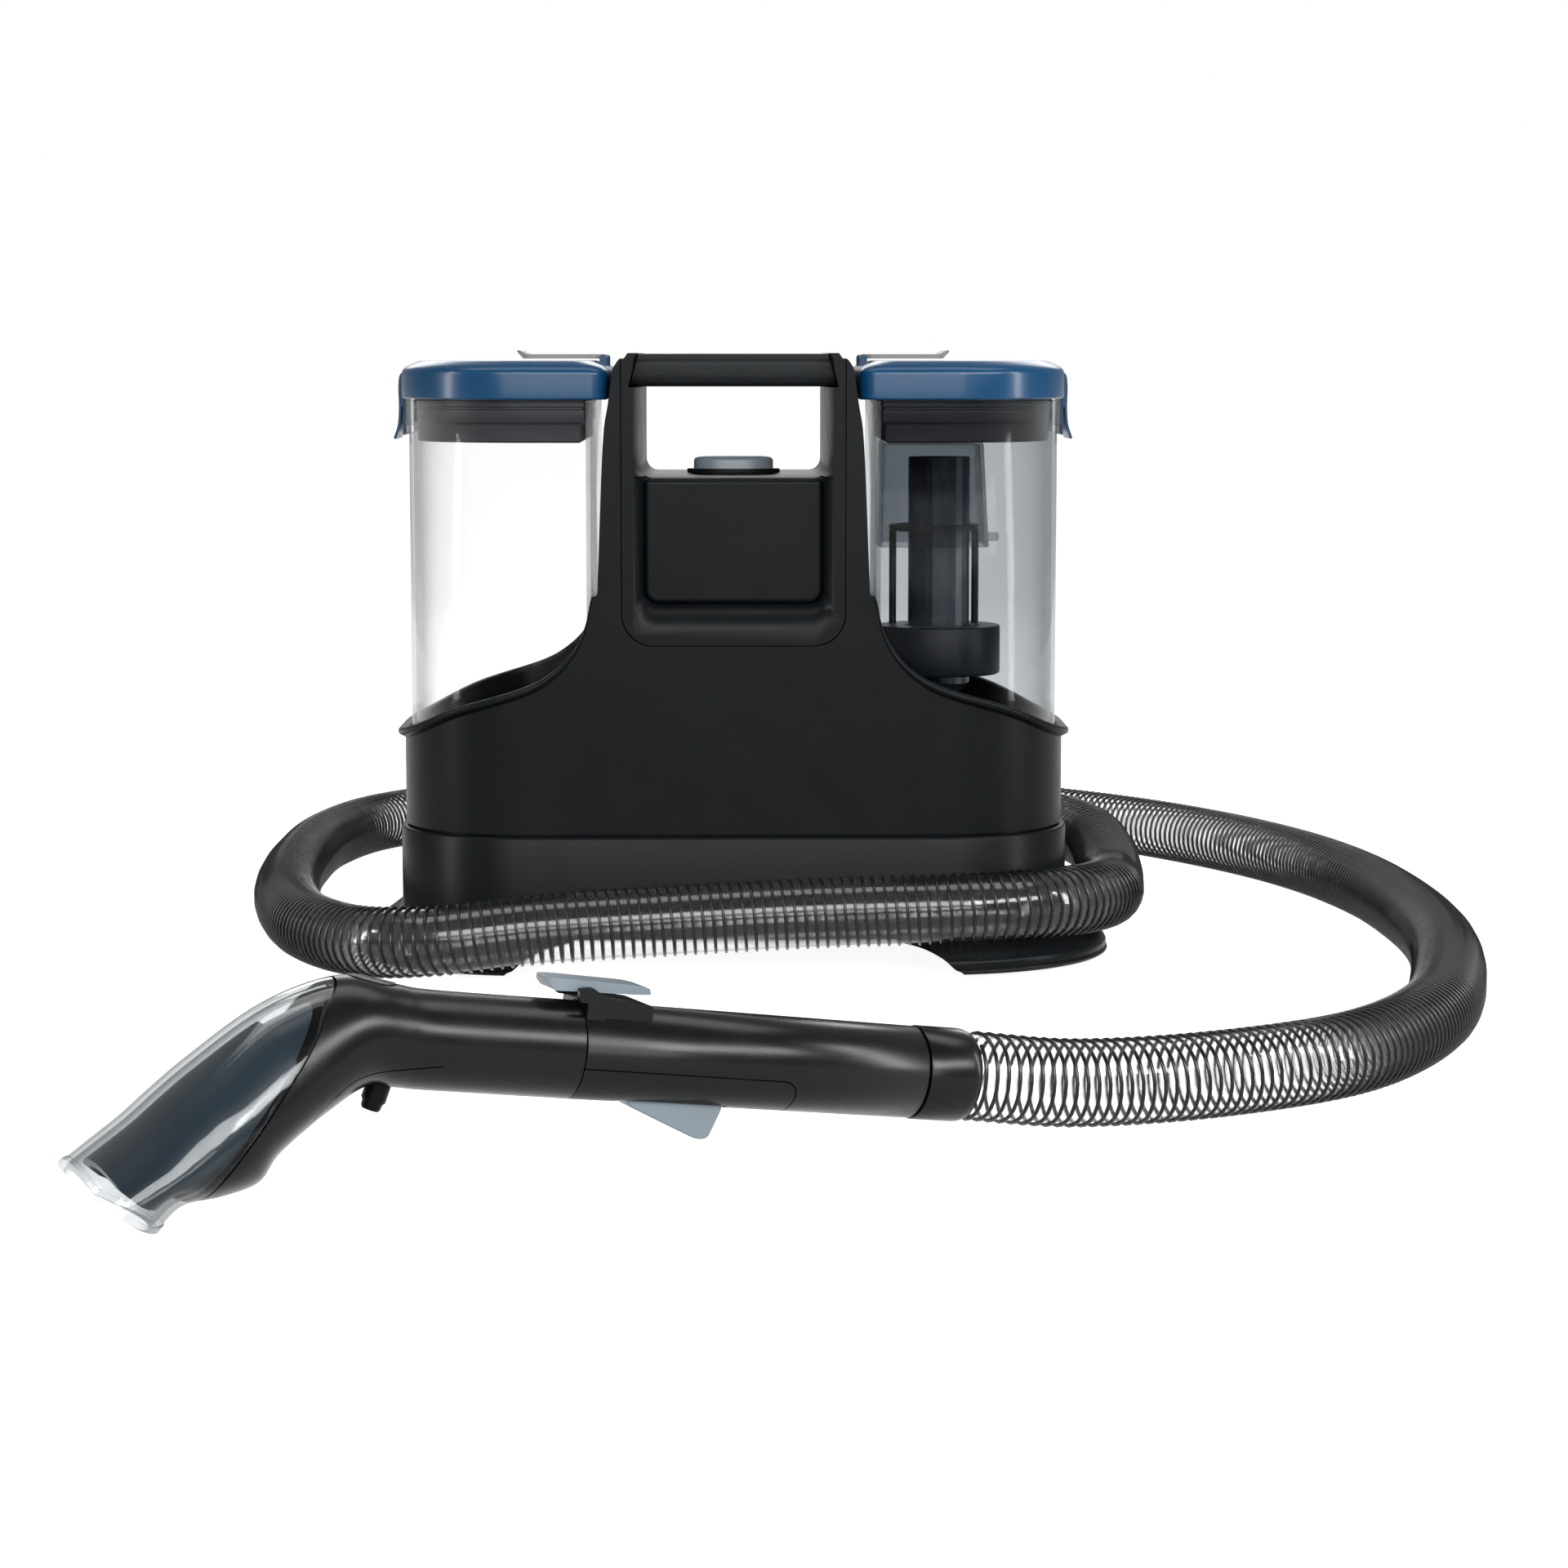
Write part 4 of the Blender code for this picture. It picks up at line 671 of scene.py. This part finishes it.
def handle_frame():
    """The lining of the column: two posts, the floor of the handle opening and a pocket at each face."""
    right = [(0.045, TOP_Z), (GRIP_X + GAP, TOP_Z), (POST_X, 0.3242), (POST_X, FRAME_Z + GAP + FRAME_R)]
    half = right + arc((POST_X - FRAME_R, FRAME_Z + GAP + FRAME_R), FRAME_R, 0, -90, 14)[1:]
    outline = half + [(-x, z) for x, z in reversed(half)]
    made = plate("handle_posts", outline, -BODY_Y, BODY_Y, "Y")
    rings, shares = [], (0.4, 0.62, 0.74, 0.82, 0.88, 0.93, 0.97, 1, 1.05)
    for y in (*(-share for share in reversed(shares)), 0, *shares):
        wide = OPEN_X - CROWN * (1 - min(1, abs(y)) ** 6)
        rings.append([(u, y * BODY_Y, v) for u, v in rounded((-wide, OPEN_LOW), (wide, OPEN_HIGH + 0.02), 0.0075)])
    cut(made, loft("hand_opening", rings))
    slot = [(-GRIP_X - GAP, OPEN_HIGH), (GRIP_X + GAP, OPEN_HIGH), (GRIP_TOP_X + GAP, TOP_Z),
            (GRIP_TOP_X + GAP, 0.34), (-GRIP_TOP_X - GAP, 0.34), (-GRIP_TOP_X - GAP, TOP_Z)]
    cut(made, plate("grip_slot", slot, *THROUGH, "Y"))
    above = OPEN_LOW + 0.0012
    for face in (-1, 1):
        wide = tub(POCKET_X, POCKET_LOW, 0.012, above)
        narrow = tub(PANEL_X + GAP, PANEL_LOW - GAP, 0.008, above)
        depths = [(0.0, 0.002), (0.0, 0.0), (0.45, -0.0022), (0.8, -0.006), (1.0, -POCKET_DEEP)]
        rings = [[(a[0] + (b[0] - a[0]) * t, face * (BODY_Y + d), a[1] + (b[1] - a[1]) * t)
                  for a, b in zip(wide, narrow)] for t, d in depths]
        cut(made, loft("pocket", rings))
        ends = sorted((face * (BODY_Y - POCKET_DEEP - 0.0063), face * (BODY_Y - POCKET_DEEP + 0.0001)))
        cut(made, plate("panel_seat", narrow, *ends, "Y"))
    cut(made, plate("button_hole", ellipse(*BUTTON_HOLE), 0.25, 0.27))
    show(made, "housing", BLACK, "handle_frame", edge=0.0011, segments=3, angle=38)


def handle_grip():
    """The bar of the handle, between the posts, its lower edge rounded for the fingers."""
    bar = rounded((-0.08, OPEN_HIGH + GAP), (0.08, TOP_Z - GAP), 0.0065, 10)
    made = plate("handle_bar", bar, -GRIP_X, GRIP_X, "X")
    ends = [(-GRIP_X, OPEN_HIGH), (GRIP_X, OPEN_HIGH), (GRIP_TOP_X, TOP_Z), (-GRIP_TOP_X, TOP_Z)]
    keep(made, plate("bar_ends", ends, -0.1, 0.1, "Y"))
    show(made, "housing", GRIP_BLACK, "handle_grip", slot="grip_plastic", edge=0.0006, angle=50)


def pocket_panels():
    """The cushioned panel in the pocket of each face."""
    for name, node, face in (("front_panel", "pocket_panel_front", -1), ("back_panel", "pocket_panel_back", 1)):
        ends = sorted((face * (BODY_Y - POCKET_DEEP), face * (BODY_Y - POCKET_DEEP - 0.006)))
        made = plate(name, tub(PANEL_X, PANEL_LOW, 0.0077, OPEN_LOW - 0.0004), *ends, "Y")
        show(made, "housing", BLACK, node, edge=0.0028, segments=6, angle=40)


def button():
    """The power button in its oval bezel."""
    bezel = plate("bezel", ellipse(0.0255, 0.015), OPEN_LOW + GAP, OPEN_LOW + 0.003)
    cut(bezel, plate("bezel_bore", ellipse(*BUTTON_HOLE), 0.26, 0.27))
    show(bezel, "housing", BLACK, "button_bezel", edge=0.0007, segments=3)
    profile = [(0.0, 0.258), (0.0, 0.2705), (0.0003, 0.2714), (0.001, 0.2722), (0.0024, 0.2728), (0.006, 0.2731),
               (0.0095, 0.2728)]
    cap = stack("button_cap", lambda inset: ellipse(0.0218 - inset, 0.0118 - inset), profile)
    show(cap, "power_button", SLATE, "power_button", slot="slate_plastic", angle=50)


# Tanks

def tank(name, node, look, side, hole, slot):
    """A clear tank with rounded lower edges, a rolled mouth and the catch for its lid's latch."""
    def ring(inset):
        return end_plan(side, TANK_IN + inset, TANK_OUT - inset, TANK_Y - inset, TANK_R - inset,
                        max(0.002 - inset, 0.0008))

    outer = [(0.0065, TANK_LOW), (0.0038, TANK_LOW + 0.0005), (0.0016, TANK_LOW + 0.002),
             (0.0004, TANK_LOW + 0.0042), (0.0, TANK_LOW + 0.0068), (0.0, TANK_TOP - 0.0005),
             (0.0005, TANK_TOP)]
    inner = [(WALL - 0.0005, TANK_TOP), (WALL, TANK_TOP - 0.0005), (WALL, TANK_LOW + 0.0075),
             (WALL + 0.0006, TANK_LOW + 0.0052), (WALL + 0.0022, TANK_LOW + 0.0036), (0.007, TANK_LOW + 0.003)]
    made = stack(name, ring, outer + inner)
    catch = sorted((side * (TANK_OUT - 0.001), side * (TANK_OUT + 0.002)))
    join(made, box("latch_catch", (catch[0], -0.016, 0.286), (catch[1], 0.016, 0.29)))
    cut(made, rod("hole", hole[1], 0.08, 0.1, (hole[0], 0), steps=32))
    show(made, node, look, node, slot=slot, angle=45)


def lid(name, node, side):
    """A shallow cap with a crowned top, a port under the flap, lugs for the flap and a notch for the latch."""
    def ring(inset):
        return end_plan(side, LID_IN + inset, LID_OUT - inset, LID_Y - inset, LID_R - inset, 0.01)

    profile = [(0.0008, LID_LOW), (0.0, LID_LOW + 0.0008), (0.0, LID_EDGE - 0.0036), (0.0002, LID_EDGE - 0.0022),
               (0.0008, LID_EDGE - 0.001), (0.0018, LID_EDGE), (0.0031, LID_EDGE + 0.0009),
               (0.005, LID_EDGE + 0.0018), (0.007, LID_EDGE + 0.0026), (0.0092, LID_TOP - 0.0002),
               (0.01, LID_TOP)]
    cap = stack(name, ring, profile)
    room = end_plan(side, LID_IN + LID_WALL, LID_OUT - LID_WALL, LID_Y - LID_WALL, LID_R - LID_WALL, 0.007)
    cut(cap, plate("lid_room", room, LID_LOW - 0.01, SEAL_HIGH + 0.0005))
    port = rounded((PORT_IN, -PORT_Y), (PORT_OUT, PORT_Y), 0.006)
    cut(cap, plate("lid_port", mirrored(port, side), 0.3, 0.34))
    for face in (-1, 1):
        lug = rounded((FLAP_PIVOT_X - 0.002, LID_TOP - 0.004), (FLAP_PIVOT_X + 0.002, FLAP_Z + 0.0022), 0.0018)
        join(cap, plate("flap_lug", mirrored(lug, side), *sorted((face * 0.0268, face * 0.0298)), "Y"))
    notch = rounded((LID_OUT - 0.0015, 0.29), (0.2, 0.3196), 0.001)
    cut(cap, plate("latch_notch", mirrored(notch, side), -LATCH_Y - 0.0004, LATCH_Y + 0.0004, "Y"))
    show(cap, node, BLUE, node, slot="blue_plastic", angle=35)


def flap(name, node, side):
    """The hinged cover of the lid's port, with an upturned finger lip."""
    section = fillet([(FLAP_PIVOT_X - 0.001, FLAP_Z), (FLAP_OUT - 0.003, FLAP_Z), (FLAP_OUT + 0.001, 0.3306),
                      (FLAP_OUT - 0.001, 0.3308), (FLAP_OUT - 0.0048, FLAP_Z + 0.0024),
                      (FLAP_PIVOT_X - 0.001, FLAP_Z + 0.0024)], 0.001, 4)
    leaf = plate(name, mirrored(section, side), -0.0262, 0.0262, "Y")
    outline = rounded((FLAP_PIVOT_X - 0.002, -0.0262), (FLAP_OUT + 0.0012, 0.0262), 0.008)
    keep(leaf, plate("leaf_plan", mirrored(outline, side), 0.32, 0.34))
    show(leaf, node, GREY, node, slot="grey_plastic", edge=0.0004, angle=40)


def latch(name, node, side):
    """The strap over the lid's end, flared at its tip, with a leg that reaches the catch on the tank."""
    outer = smooth([(0.1792, 0.3192), (0.1812, 0.318), (0.1821, 0.315), (0.1824, 0.309), (0.1822, 0.3),
                    (0.1829, 0.2905), (0.1853, 0.2832)], 6)
    inner = smooth([(0.1839, 0.2826), (0.1816, 0.2895), (0.1809, 0.296), (0.1807, 0.3)], 5)
    section = outer + inner + [(0.1801, 0.3), (0.1801, 0.285), (0.1788, 0.285), (0.1788, 0.3188)]
    strap = plate(name, mirrored(list(reversed(section)), side), -LATCH_Y, LATCH_Y, "Y")
    show(strap, node, BLUE, node, slot="blue_plastic", edge=0.0004, angle=35)


def lid_seal(name, node, body, side, floor):
    """The stepped black collar that plugs the tank's mouth, with a floor under the dirty side's."""
    def ring(inset):
        return end_plan(side, TANK_IN + WALL + inset, TANK_OUT - WALL - inset, TANK_Y - WALL - inset,
                        TANK_R - WALL - inset, 0.0008)

    profile = [(0.0034, SEAL_LOW), (0.0024, SEAL_LOW + 0.0008), (0.0022, SEAL_LOW + 0.002),
               (0.0022, SEAL_STEP - 0.0012), (0.0018, SEAL_STEP - 0.0004), (0.001, SEAL_STEP),
               (0.0006, SEAL_STEP + 0.0006), (0.0006, 0.2992), (0.0013, 0.2998), (0.0013, 0.3006), (0.0006, 0.3012),
               (0.0006, SEAL_HIGH)]
    collar = stack(name, ring, profile)
    low = SEAL_LOW + 0.0025 if floor else SEAL_LOW - 0.01
    cut(collar, plate("seal_room", ring(0.0046), low, SEAL_HIGH + 0.01))
    if floor:
        cut(collar, box("air_gap", (0.142, -0.02, 0.27), (0.162, 0.02, 0.3)))
        cut(collar, box("pour_gap", (0.082, -0.06, 0.27), (0.13, -0.038, 0.3)))
    show(collar, body, SEAL, node, slot="black_rubber", angle=40)


def separator():
    """The clear hood over the standpipe, and the float that rides on the standpipe."""
    top, bottom = 0.2815, 0.224
    levels = [(0.0, 0.079, 0.1395, 0.033), (1.0, 0.0805, 0.1365, 0.029)]

    def hood_ring(t, inset, z):
        x0, x1, y = (levels[0][i] + (levels[1][i] - levels[0][i]) * t for i in (1, 2, 3))
        outline = rounded((x0 + inset, -y + inset), (x1 - inset, y - inset), 0.008 - inset, 8)
        return [(u, v, z) for u, v in outline]

    rings = [hood_ring(0.0, 0.0, bottom), hood_ring(0.5, 0.0, (top + bottom) / 2), hood_ring(0.96, 0.0, top - 0.002),
             hood_ring(1.0, 0.001, top)]
    hood = loft("hood", rings)
    cut(hood, loft("hood_room", [hood_ring(0.0, 0.0018, bottom - 0.002), hood_ring(1.0, 0.0018, top - 0.002)]))
    pin = [(0.0, 0.138), (0.0025, 0.138), (0.0025, 0.1452), (0.0019, 0.1465), (0.0, 0.1465)]
    join(hood, turned("guide_pin", pin, (0, 0.2285), "X", 24))
    show(hood, "dirty_lid", SMOKE_DARK, "separator_hood", slot="smoke_plastic", edge=0.0004, angle=40)
    ring = [(0.034, 0.179), (0.0335, 0.1798), (0.0328, 0.18), (0.02, 0.18), (0.0192, 0.1795), (0.019, 0.1785),
            (0.019, 0.1545), (0.0193, 0.1535), (0.0202, 0.153), (0.0325, 0.153), (0.0336, 0.1535), (0.034, 0.1548)]
    show(turned("float_body", ring, (PIPE_X, 0)), "float", FLOAT, "float_ring", angle=50)


# Wand and tool: built along +X of their own frame and then laid beside the machine

def laid(obj):
    """A piece of the wand moved from the wand's own frame to where the wand lies."""
    side = Vector((0, 0, 1)).cross(ALONG).normalized()
    obj.data.transform(Matrix.Translation(WAND_END)
                       @ Matrix((ALONG, side, ALONG.cross(side))).transposed().to_4x4())
    return obj


def wand_radius(s):
    """The wand's outer radius at a distance from its hose end."""
    return WAND_R0 + (WAND_R1 - WAND_R0) * s / SEAM_S


def wand_shells():
    """The cuff on the hose's end and the two shells of the wand."""
    cuff = turned("cuff", [(0.016, 0.0), (0.0176, 0.0), (0.0185, 0.0008), (0.0193, 0.003), (CUFF_R, 0.0052),
                           (CUFF_R, CUFF_S - 0.001), (CUFF_R - 0.0004, CUFF_S - 0.0004), (0.016, CUFF_S)],
                  axis="X", steps=WAND_STEPS)
    show(laid(cuff), "housing", WAND_BLACK, "hose_cuff", angle=40)

    start, end = CUFF_S + GAP, SEAM_S - FIT
    tube_profile = [(WAND_BORE, start), (wand_radius(start) - 0.0008, start), (wand_radius(start), start + 0.0008),
                    (wand_radius(end), end - 0.0006), (wand_radius(end) - 0.0006, end), (WAND_BORE, end)]
    upper = turned("upper_shell", tube_profile, axis="X", steps=WAND_STEPS)
    seat_line = arc((SPLIT_S + 0.007, SPLIT_H - 0.007), 0.007, 180, 90, 8)
    seat = [(SPLIT_S, -0.03), (0.2, -0.03), (0.2, SPLIT_H)] + list(reversed(seat_line))
    cut(upper, plate("grip_seat", seat, *WAND_THROUGH, "Y"))
    show(laid(upper), "housing", WAND_BLACK, "wand_shell_upper", edge=0.0003, angle=50)

    lower = turned("lower_shell", tube_profile, axis="X", steps=WAND_STEPS)
    low_s, low_h = SPLIT_S + SHELL_GAP, SPLIT_H - SHELL_GAP
    rest_line = arc((low_s + 0.0065, low_h - 0.0065), 0.0065, 180, 90, 8)
    part = [(low_s, -0.03), (end, -0.03), (end, low_h)] + list(reversed(rest_line))
    keep(lower, plate("lower_part", part, *WAND_THROUGH, "Y"))
    slot = rounded((0.1085, -0.0078), (0.1575, 0.0078), 0.003)
    cut(lower, plate("trigger_slot", slot, -0.03, -0.005))
    show(laid(lower), "housing", WAND_BLACK, "wand_shell_lower", edge=0.0003, angle=50)


def wand_controls():
    """The lever that frees the tool, the raised pod it rocks on, and the trigger."""
    pod = fillet([(0.1492, 0.01), (0.1778, 0.01), (0.1778, 0.0234), (0.1492, 0.0214)], 0.0028)
    pod = plate("lever_pod", pod, -0.0128, 0.0128, "Y")
    ear = fillet([(0.17, 0.013), (0.1776, 0.013), (0.1776, 0.0206), (0.1815, 0.0206), (0.1822, 0.0262),
                  (0.177, 0.027), (0.17, 0.023)], 0.0012, 4)
    for ends in ((-0.0137, -0.0112), (0.0112, 0.0137)):
        join(pod, plate("lever_ear", ear, *ends, "Y"))
    show(laid(pod), "housing", WAND_BLACK, edge=0.0008, segments=3, angle=40)

    blade = fillet([(0.1555, -0.0165), (0.1519, -0.0205), (0.121, -0.0322), (0.116, -0.0318), (0.111, -0.0185),
                    (0.1115, -0.012), (0.1519, -0.012)], 0.0026)
    trigger = plate("trigger_blade", blade, -0.007, 0.007, "Y")
    show(laid(trigger), "trigger", SLATE, "trigger", slot="slate_plastic", edge=0.0008, segments=3, angle=40)

    profile = fillet([(0.1492, 0.025), (0.15, 0.0276), (0.156, 0.0284), (0.185, 0.029), (0.1934, 0.0289),
                      (0.1934, 0.0272), (0.19, 0.024), (0.178, 0.0244), (0.156, 0.0246)], 0.0008, 4)
    lever = plate("lever", profile, -0.0108, 0.0108, "Y")
    outline = fillet([(0.148, -0.0086), (0.189, -0.0086), (0.1934, -0.007), (0.1934, 0.007), (0.189, 0.0086),
                      (0.148, 0.0086)], 0.002)
    keep(lever, plate("lever_plan", outline, 0.0, 0.05))
    show(laid(lever), "latch_lever", SLATE, "latch_lever", slot="slate_plastic", edge=0.0005, segments=3, angle=40)


def head(name, inset=0.0, past=0.0):
    """The head and neck of the tool as one solid, or the room inside it."""
    rings = []
    sections = smooth(TOOL_SECTIONS, 8)
    if past:
        s, h, *mouth = sections[-1]
        lean = math.radians(mouth[0])
        sections.append((s + past * math.cos(lean), h - past * math.sin(lean), *mouth))
        sections.insert(0, (sections[0][0] - past, *sections[0][1:]))
    for s, h, down, above, below, half_w in sections:
        lean = math.radians(down)
        outline = [(u, v * ((above if v > 0 else below) - inset)) for u, v in ellipse(half_w - inset, 1, steps=72)]
        rings.append([(s + v * math.sin(lean), u, h + v * math.cos(lean)) for u, v in outline])
    return loft(name, rings)


def seam_side(name, seam, corners):
    """All that lies on one side of a seam of the tool, to cut away or to keep."""
    return plate(name, smooth(seam, 5) + corners, *TOOL_THROUGH, "Y")


def shifted(points, ds, dh):
    """The same line moved along and up."""
    return [(s + ds, h + dh) for s, h in points]


FRONT = [(0.45, -0.085), (0.45, 0.033)]
BELOW = [(0.33, -0.12), (0.2368, -0.12)]
PAST_MOUTH = [(0.336, -0.12), (0.43, -0.12), (0.43, -0.048)]


def tool_shells():
    """The upper and lower shell of the tool, apart along LOWER_SEAM and open in front of WINDOW_SEAM."""
    thumb = ellipse(0.0102, 0.0078, (THUMB_S, 0.0))
    upper = cut(head("tool_upper"), head("head_room", WAND_WALL, 0.01))
    cut(upper, rod("neck_bore", 0.0169, 0.16, 0.24, axis="X"))
    cut(upper, seam_side("window_side", shifted(WINDOW_SEAM, -SHELL_GAP, -SHELL_GAP), FRONT))
    cut(upper, seam_side("lower_side", shifted(LOWER_SEAM, 0, SHELL_GAP), BELOW))
    cut(upper, plate("catch_seat", thumb, 0.01, 0.04))
    show(laid(upper), "tool", WAND_BLACK, "tool_shell_upper", edge=0.0003, angle=45)

    lower = keep(head("tool_lower"), seam_side("lower_part", LOWER_SEAM, BELOW))
    cut(lower, head("lower_room", WAND_WALL, 0.01))
    cut(lower, seam_side("window_side_low", shifted(WINDOW_SEAM, -SHELL_GAP, -SHELL_GAP), FRONT))
    show(laid(lower), "tool", WAND_BLACK, "tool_shell_lower", edge=0.0003, angle=45)


def tool_window():
    """The clear window with a bead round the mouth, and the dark channel that comes off with it."""
    window = keep(head("window", 0.0, 0.009), seam_side("window_part", WINDOW_SEAM, FRONT))
    cut(window, head("window_room", WAND_WALL, 0.02))
    cut(window, seam_side("window_end", MOUTH, PAST_MOUTH))
    rim = keep(head("mouth_rim", -0.0007, 0.009), seam_side("rim_front", shifted(MOUTH, -0.0012, 0.0022), PAST_MOUTH))
    cut(rim, head("rim_room", 0.0031, 0.02), seam_side("rim_end", MOUTH, PAST_MOUTH),
        seam_side("rim_back", shifted(WINDOW_SEAM, 0.0008, 0.0), [(0.2, -0.085), (0.2, 0.033)]))
    join(window, rim)
    show(laid(window), "nozzle_window", WINDOW, "nozzle_window", slot="window_plastic", edge=0.0004, angle=45)

    channel = keep(head("channel", 0.0055), plate("channel_low", CHANNEL_LOW, *TOOL_THROUGH, "Y"))
    join(channel, keep(head("channel_neck", 0.0076), plate("channel_high", CHANNEL_HIGH, *TOOL_THROUGH, "Y")))
    cut(channel, head("channel_room", 0.0092, 0.01))
    show(laid(channel), "nozzle_window", INNER, "tool_channel", edge=0.0003, angle=45)


def tool_fittings():
    """The thumb catch of the window and the spray tip under the neck."""
    catch = head("thumb_catch", -0.0004)
    keep(catch, plate("thumb", ellipse(0.0097, 0.0072, (THUMB_S, 0.0)), 0.017, 0.04))
    show(laid(catch), "window_catch", WAND_BLACK, "window_catch", edge=0.0004, angle=45)

    tilt = Matrix.Translation((0.2567, 0, -0.0228)) @ Matrix.Rotation(math.radians(167), 4, "Y")
    nub = [(0.0, -0.006), (0.005, -0.006), (0.005, 0.002), (0.0042, 0.003), (0.004, 0.0052), (0.0032, 0.0062),
           (0.0014, 0.0064), (0.0012, 0.0055), (0.0, 0.0055)]
    nozzle = turned("spray_tip", nub, steps=32)
    nozzle.data.transform(tilt)
    show(laid(nozzle), "tool", BLACK, "spray_nozzle", angle=40)


# Finishes: colour, roughness, how much the roughness drifts, grain, its depth, gloss

BLACK = plastic("black_plastic", (0.0017, 0.0022, 0.0026), 0.34, 0.04, specular=0.05)
WAND_BLACK = plastic("wand_plastic", (0.001, 0.0012, 0.0014), 0.26, 0.03, specular=0.16)
GRIP_BLACK = plastic("grip_plastic", (0.0032, 0.004, 0.0046), 0.46, 0.05, 900, 0.00006, 0.07)
BLUE = plastic("blue_plastic", (0.001, 0.018, 0.046), 0.28, 0.03, 700, 0.00001, 0.12, coat=0.08)
SLATE = plastic("slate_plastic", (0.07, 0.084, 0.097), 0.36, 0.04, 1200, 0.00002, 0.25)
GREY = plastic("grey_plastic", (0.07, 0.069, 0.068), 0.42, 0.05, specular=0.3)
SEAL = plastic("black_rubber", (0.008, 0.0085, 0.01), 0.46, 0.06, 900, 0.00005, 0.15)
RUBBER = plastic("pad_rubber", (0.015, 0.015, 0.0155), 0.75, 0.06, 700, 0.0001, 0.3)
FLOAT = plastic("float_plastic", (0.003, 0.0045, 0.0065), 0.4, 0.04, specular=0.1)
INNER = plastic("channel_plastic", (0.007, 0.0125, 0.018), 0.3, 0.04, specular=0.2)
PIPE = plastic("pipe_plastic", (0.011, 0.015, 0.02), 0.22, 0.05, 500, 0.00001, 0.35)
STEEL = plastic("motor_steel", (0.55, 0.56, 0.57), 0.34, 0.06, 600, 0.00004, metallic=1.0)
BOARD = plastic("circuit_board", (0.02, 0.16, 0.07), 0.45, 0.05)
RIB = plastic("hose_rib", (0.003, 0.0035, 0.004), 0.22, 0.04, 900, 0.00001, 0.2)
CLEAR = clear("clear_plastic", (0.985, 0.986, 0.987), (0.6, 0.61, 0.62))
SMOKE = clear("smoke_plastic", (0.79, 0.8, 0.808), (0.5, 0.52, 0.53))
SMOKE_DARK = clear("smoke_dark_plastic", (0.69, 0.715, 0.735), (0.25, 0.28, 0.3))
WINDOW = clear("window_plastic", (0.88, 0.89, 0.895), (0.22, 0.24, 0.25), mirror=0.012)
FILM = clear("hose_film", (0.98, 0.98, 0.98), (0.84, 0.845, 0.85), 0.3, 0.6, hazy=True)

# The model

camera()
film, rib, hose_length = hose()
wand_shells()
wand_controls()
tool_shells()
tool_window()
tool_fittings()
hose_port()
main_housing()
rim_lip("rim_lip_left", -1)
rim_lip("rim_lip_right", 1)
lower_housing()
foot("left_foot", "foot_left", -1)
foot("right_foot", "foot_right", 1)
handle_frame()
handle_grip()
pocket_panels()
button()
tank("clean_tank_shell", "clean_tank", CLEAR, -1, (OUTLET_X, 0.005), "clear_plastic")
tank("dirty_tank_shell", "dirty_tank", SMOKE, 1, (PIPE_X, 0.009), "smoke_plastic")
for prefix, end in (("clean", -1), ("dirty", 1)):
    lid(f"{prefix}_cap", f"{prefix}_lid", end)
    lid_seal(f"{prefix}_collar", f"{prefix}_lid_seal", f"{prefix}_lid", end, floor=end > 0)
    flap(f"{prefix}_flap_leaf", f"{prefix}_flap", end)
    latch(f"{prefix}_latch_strap", f"{prefix}_latch", end)
separator()
dress(PIPE, 0.0, "standpipe")
dress(FLOAT, 0.0005, "float_rod_left", "float_rod_right", "float_yoke")
dress(RUBBER, 0.0004, "foot_left_pad_front", "foot_left_pad_back", "foot_right_pad_front", "foot_right_pad_back",
      "clean_dock_seal", "dirty_dock_seal", "feed_tube", "fan_base_ring")
dress(BLACK, 0.0005, "exhaust_grille", "mains_inlet", "switch_body", "fan_housing", "water_pump", "inlet_duct",
      "air_duct", "clean_valve")
dress(STEEL, 0.0006, "motor_can", "impeller", "trigger_valve")
dress(BOARD, 0.0002, "control_board")
dress(CLEAR, 0.0, "spray_tube")
studio()
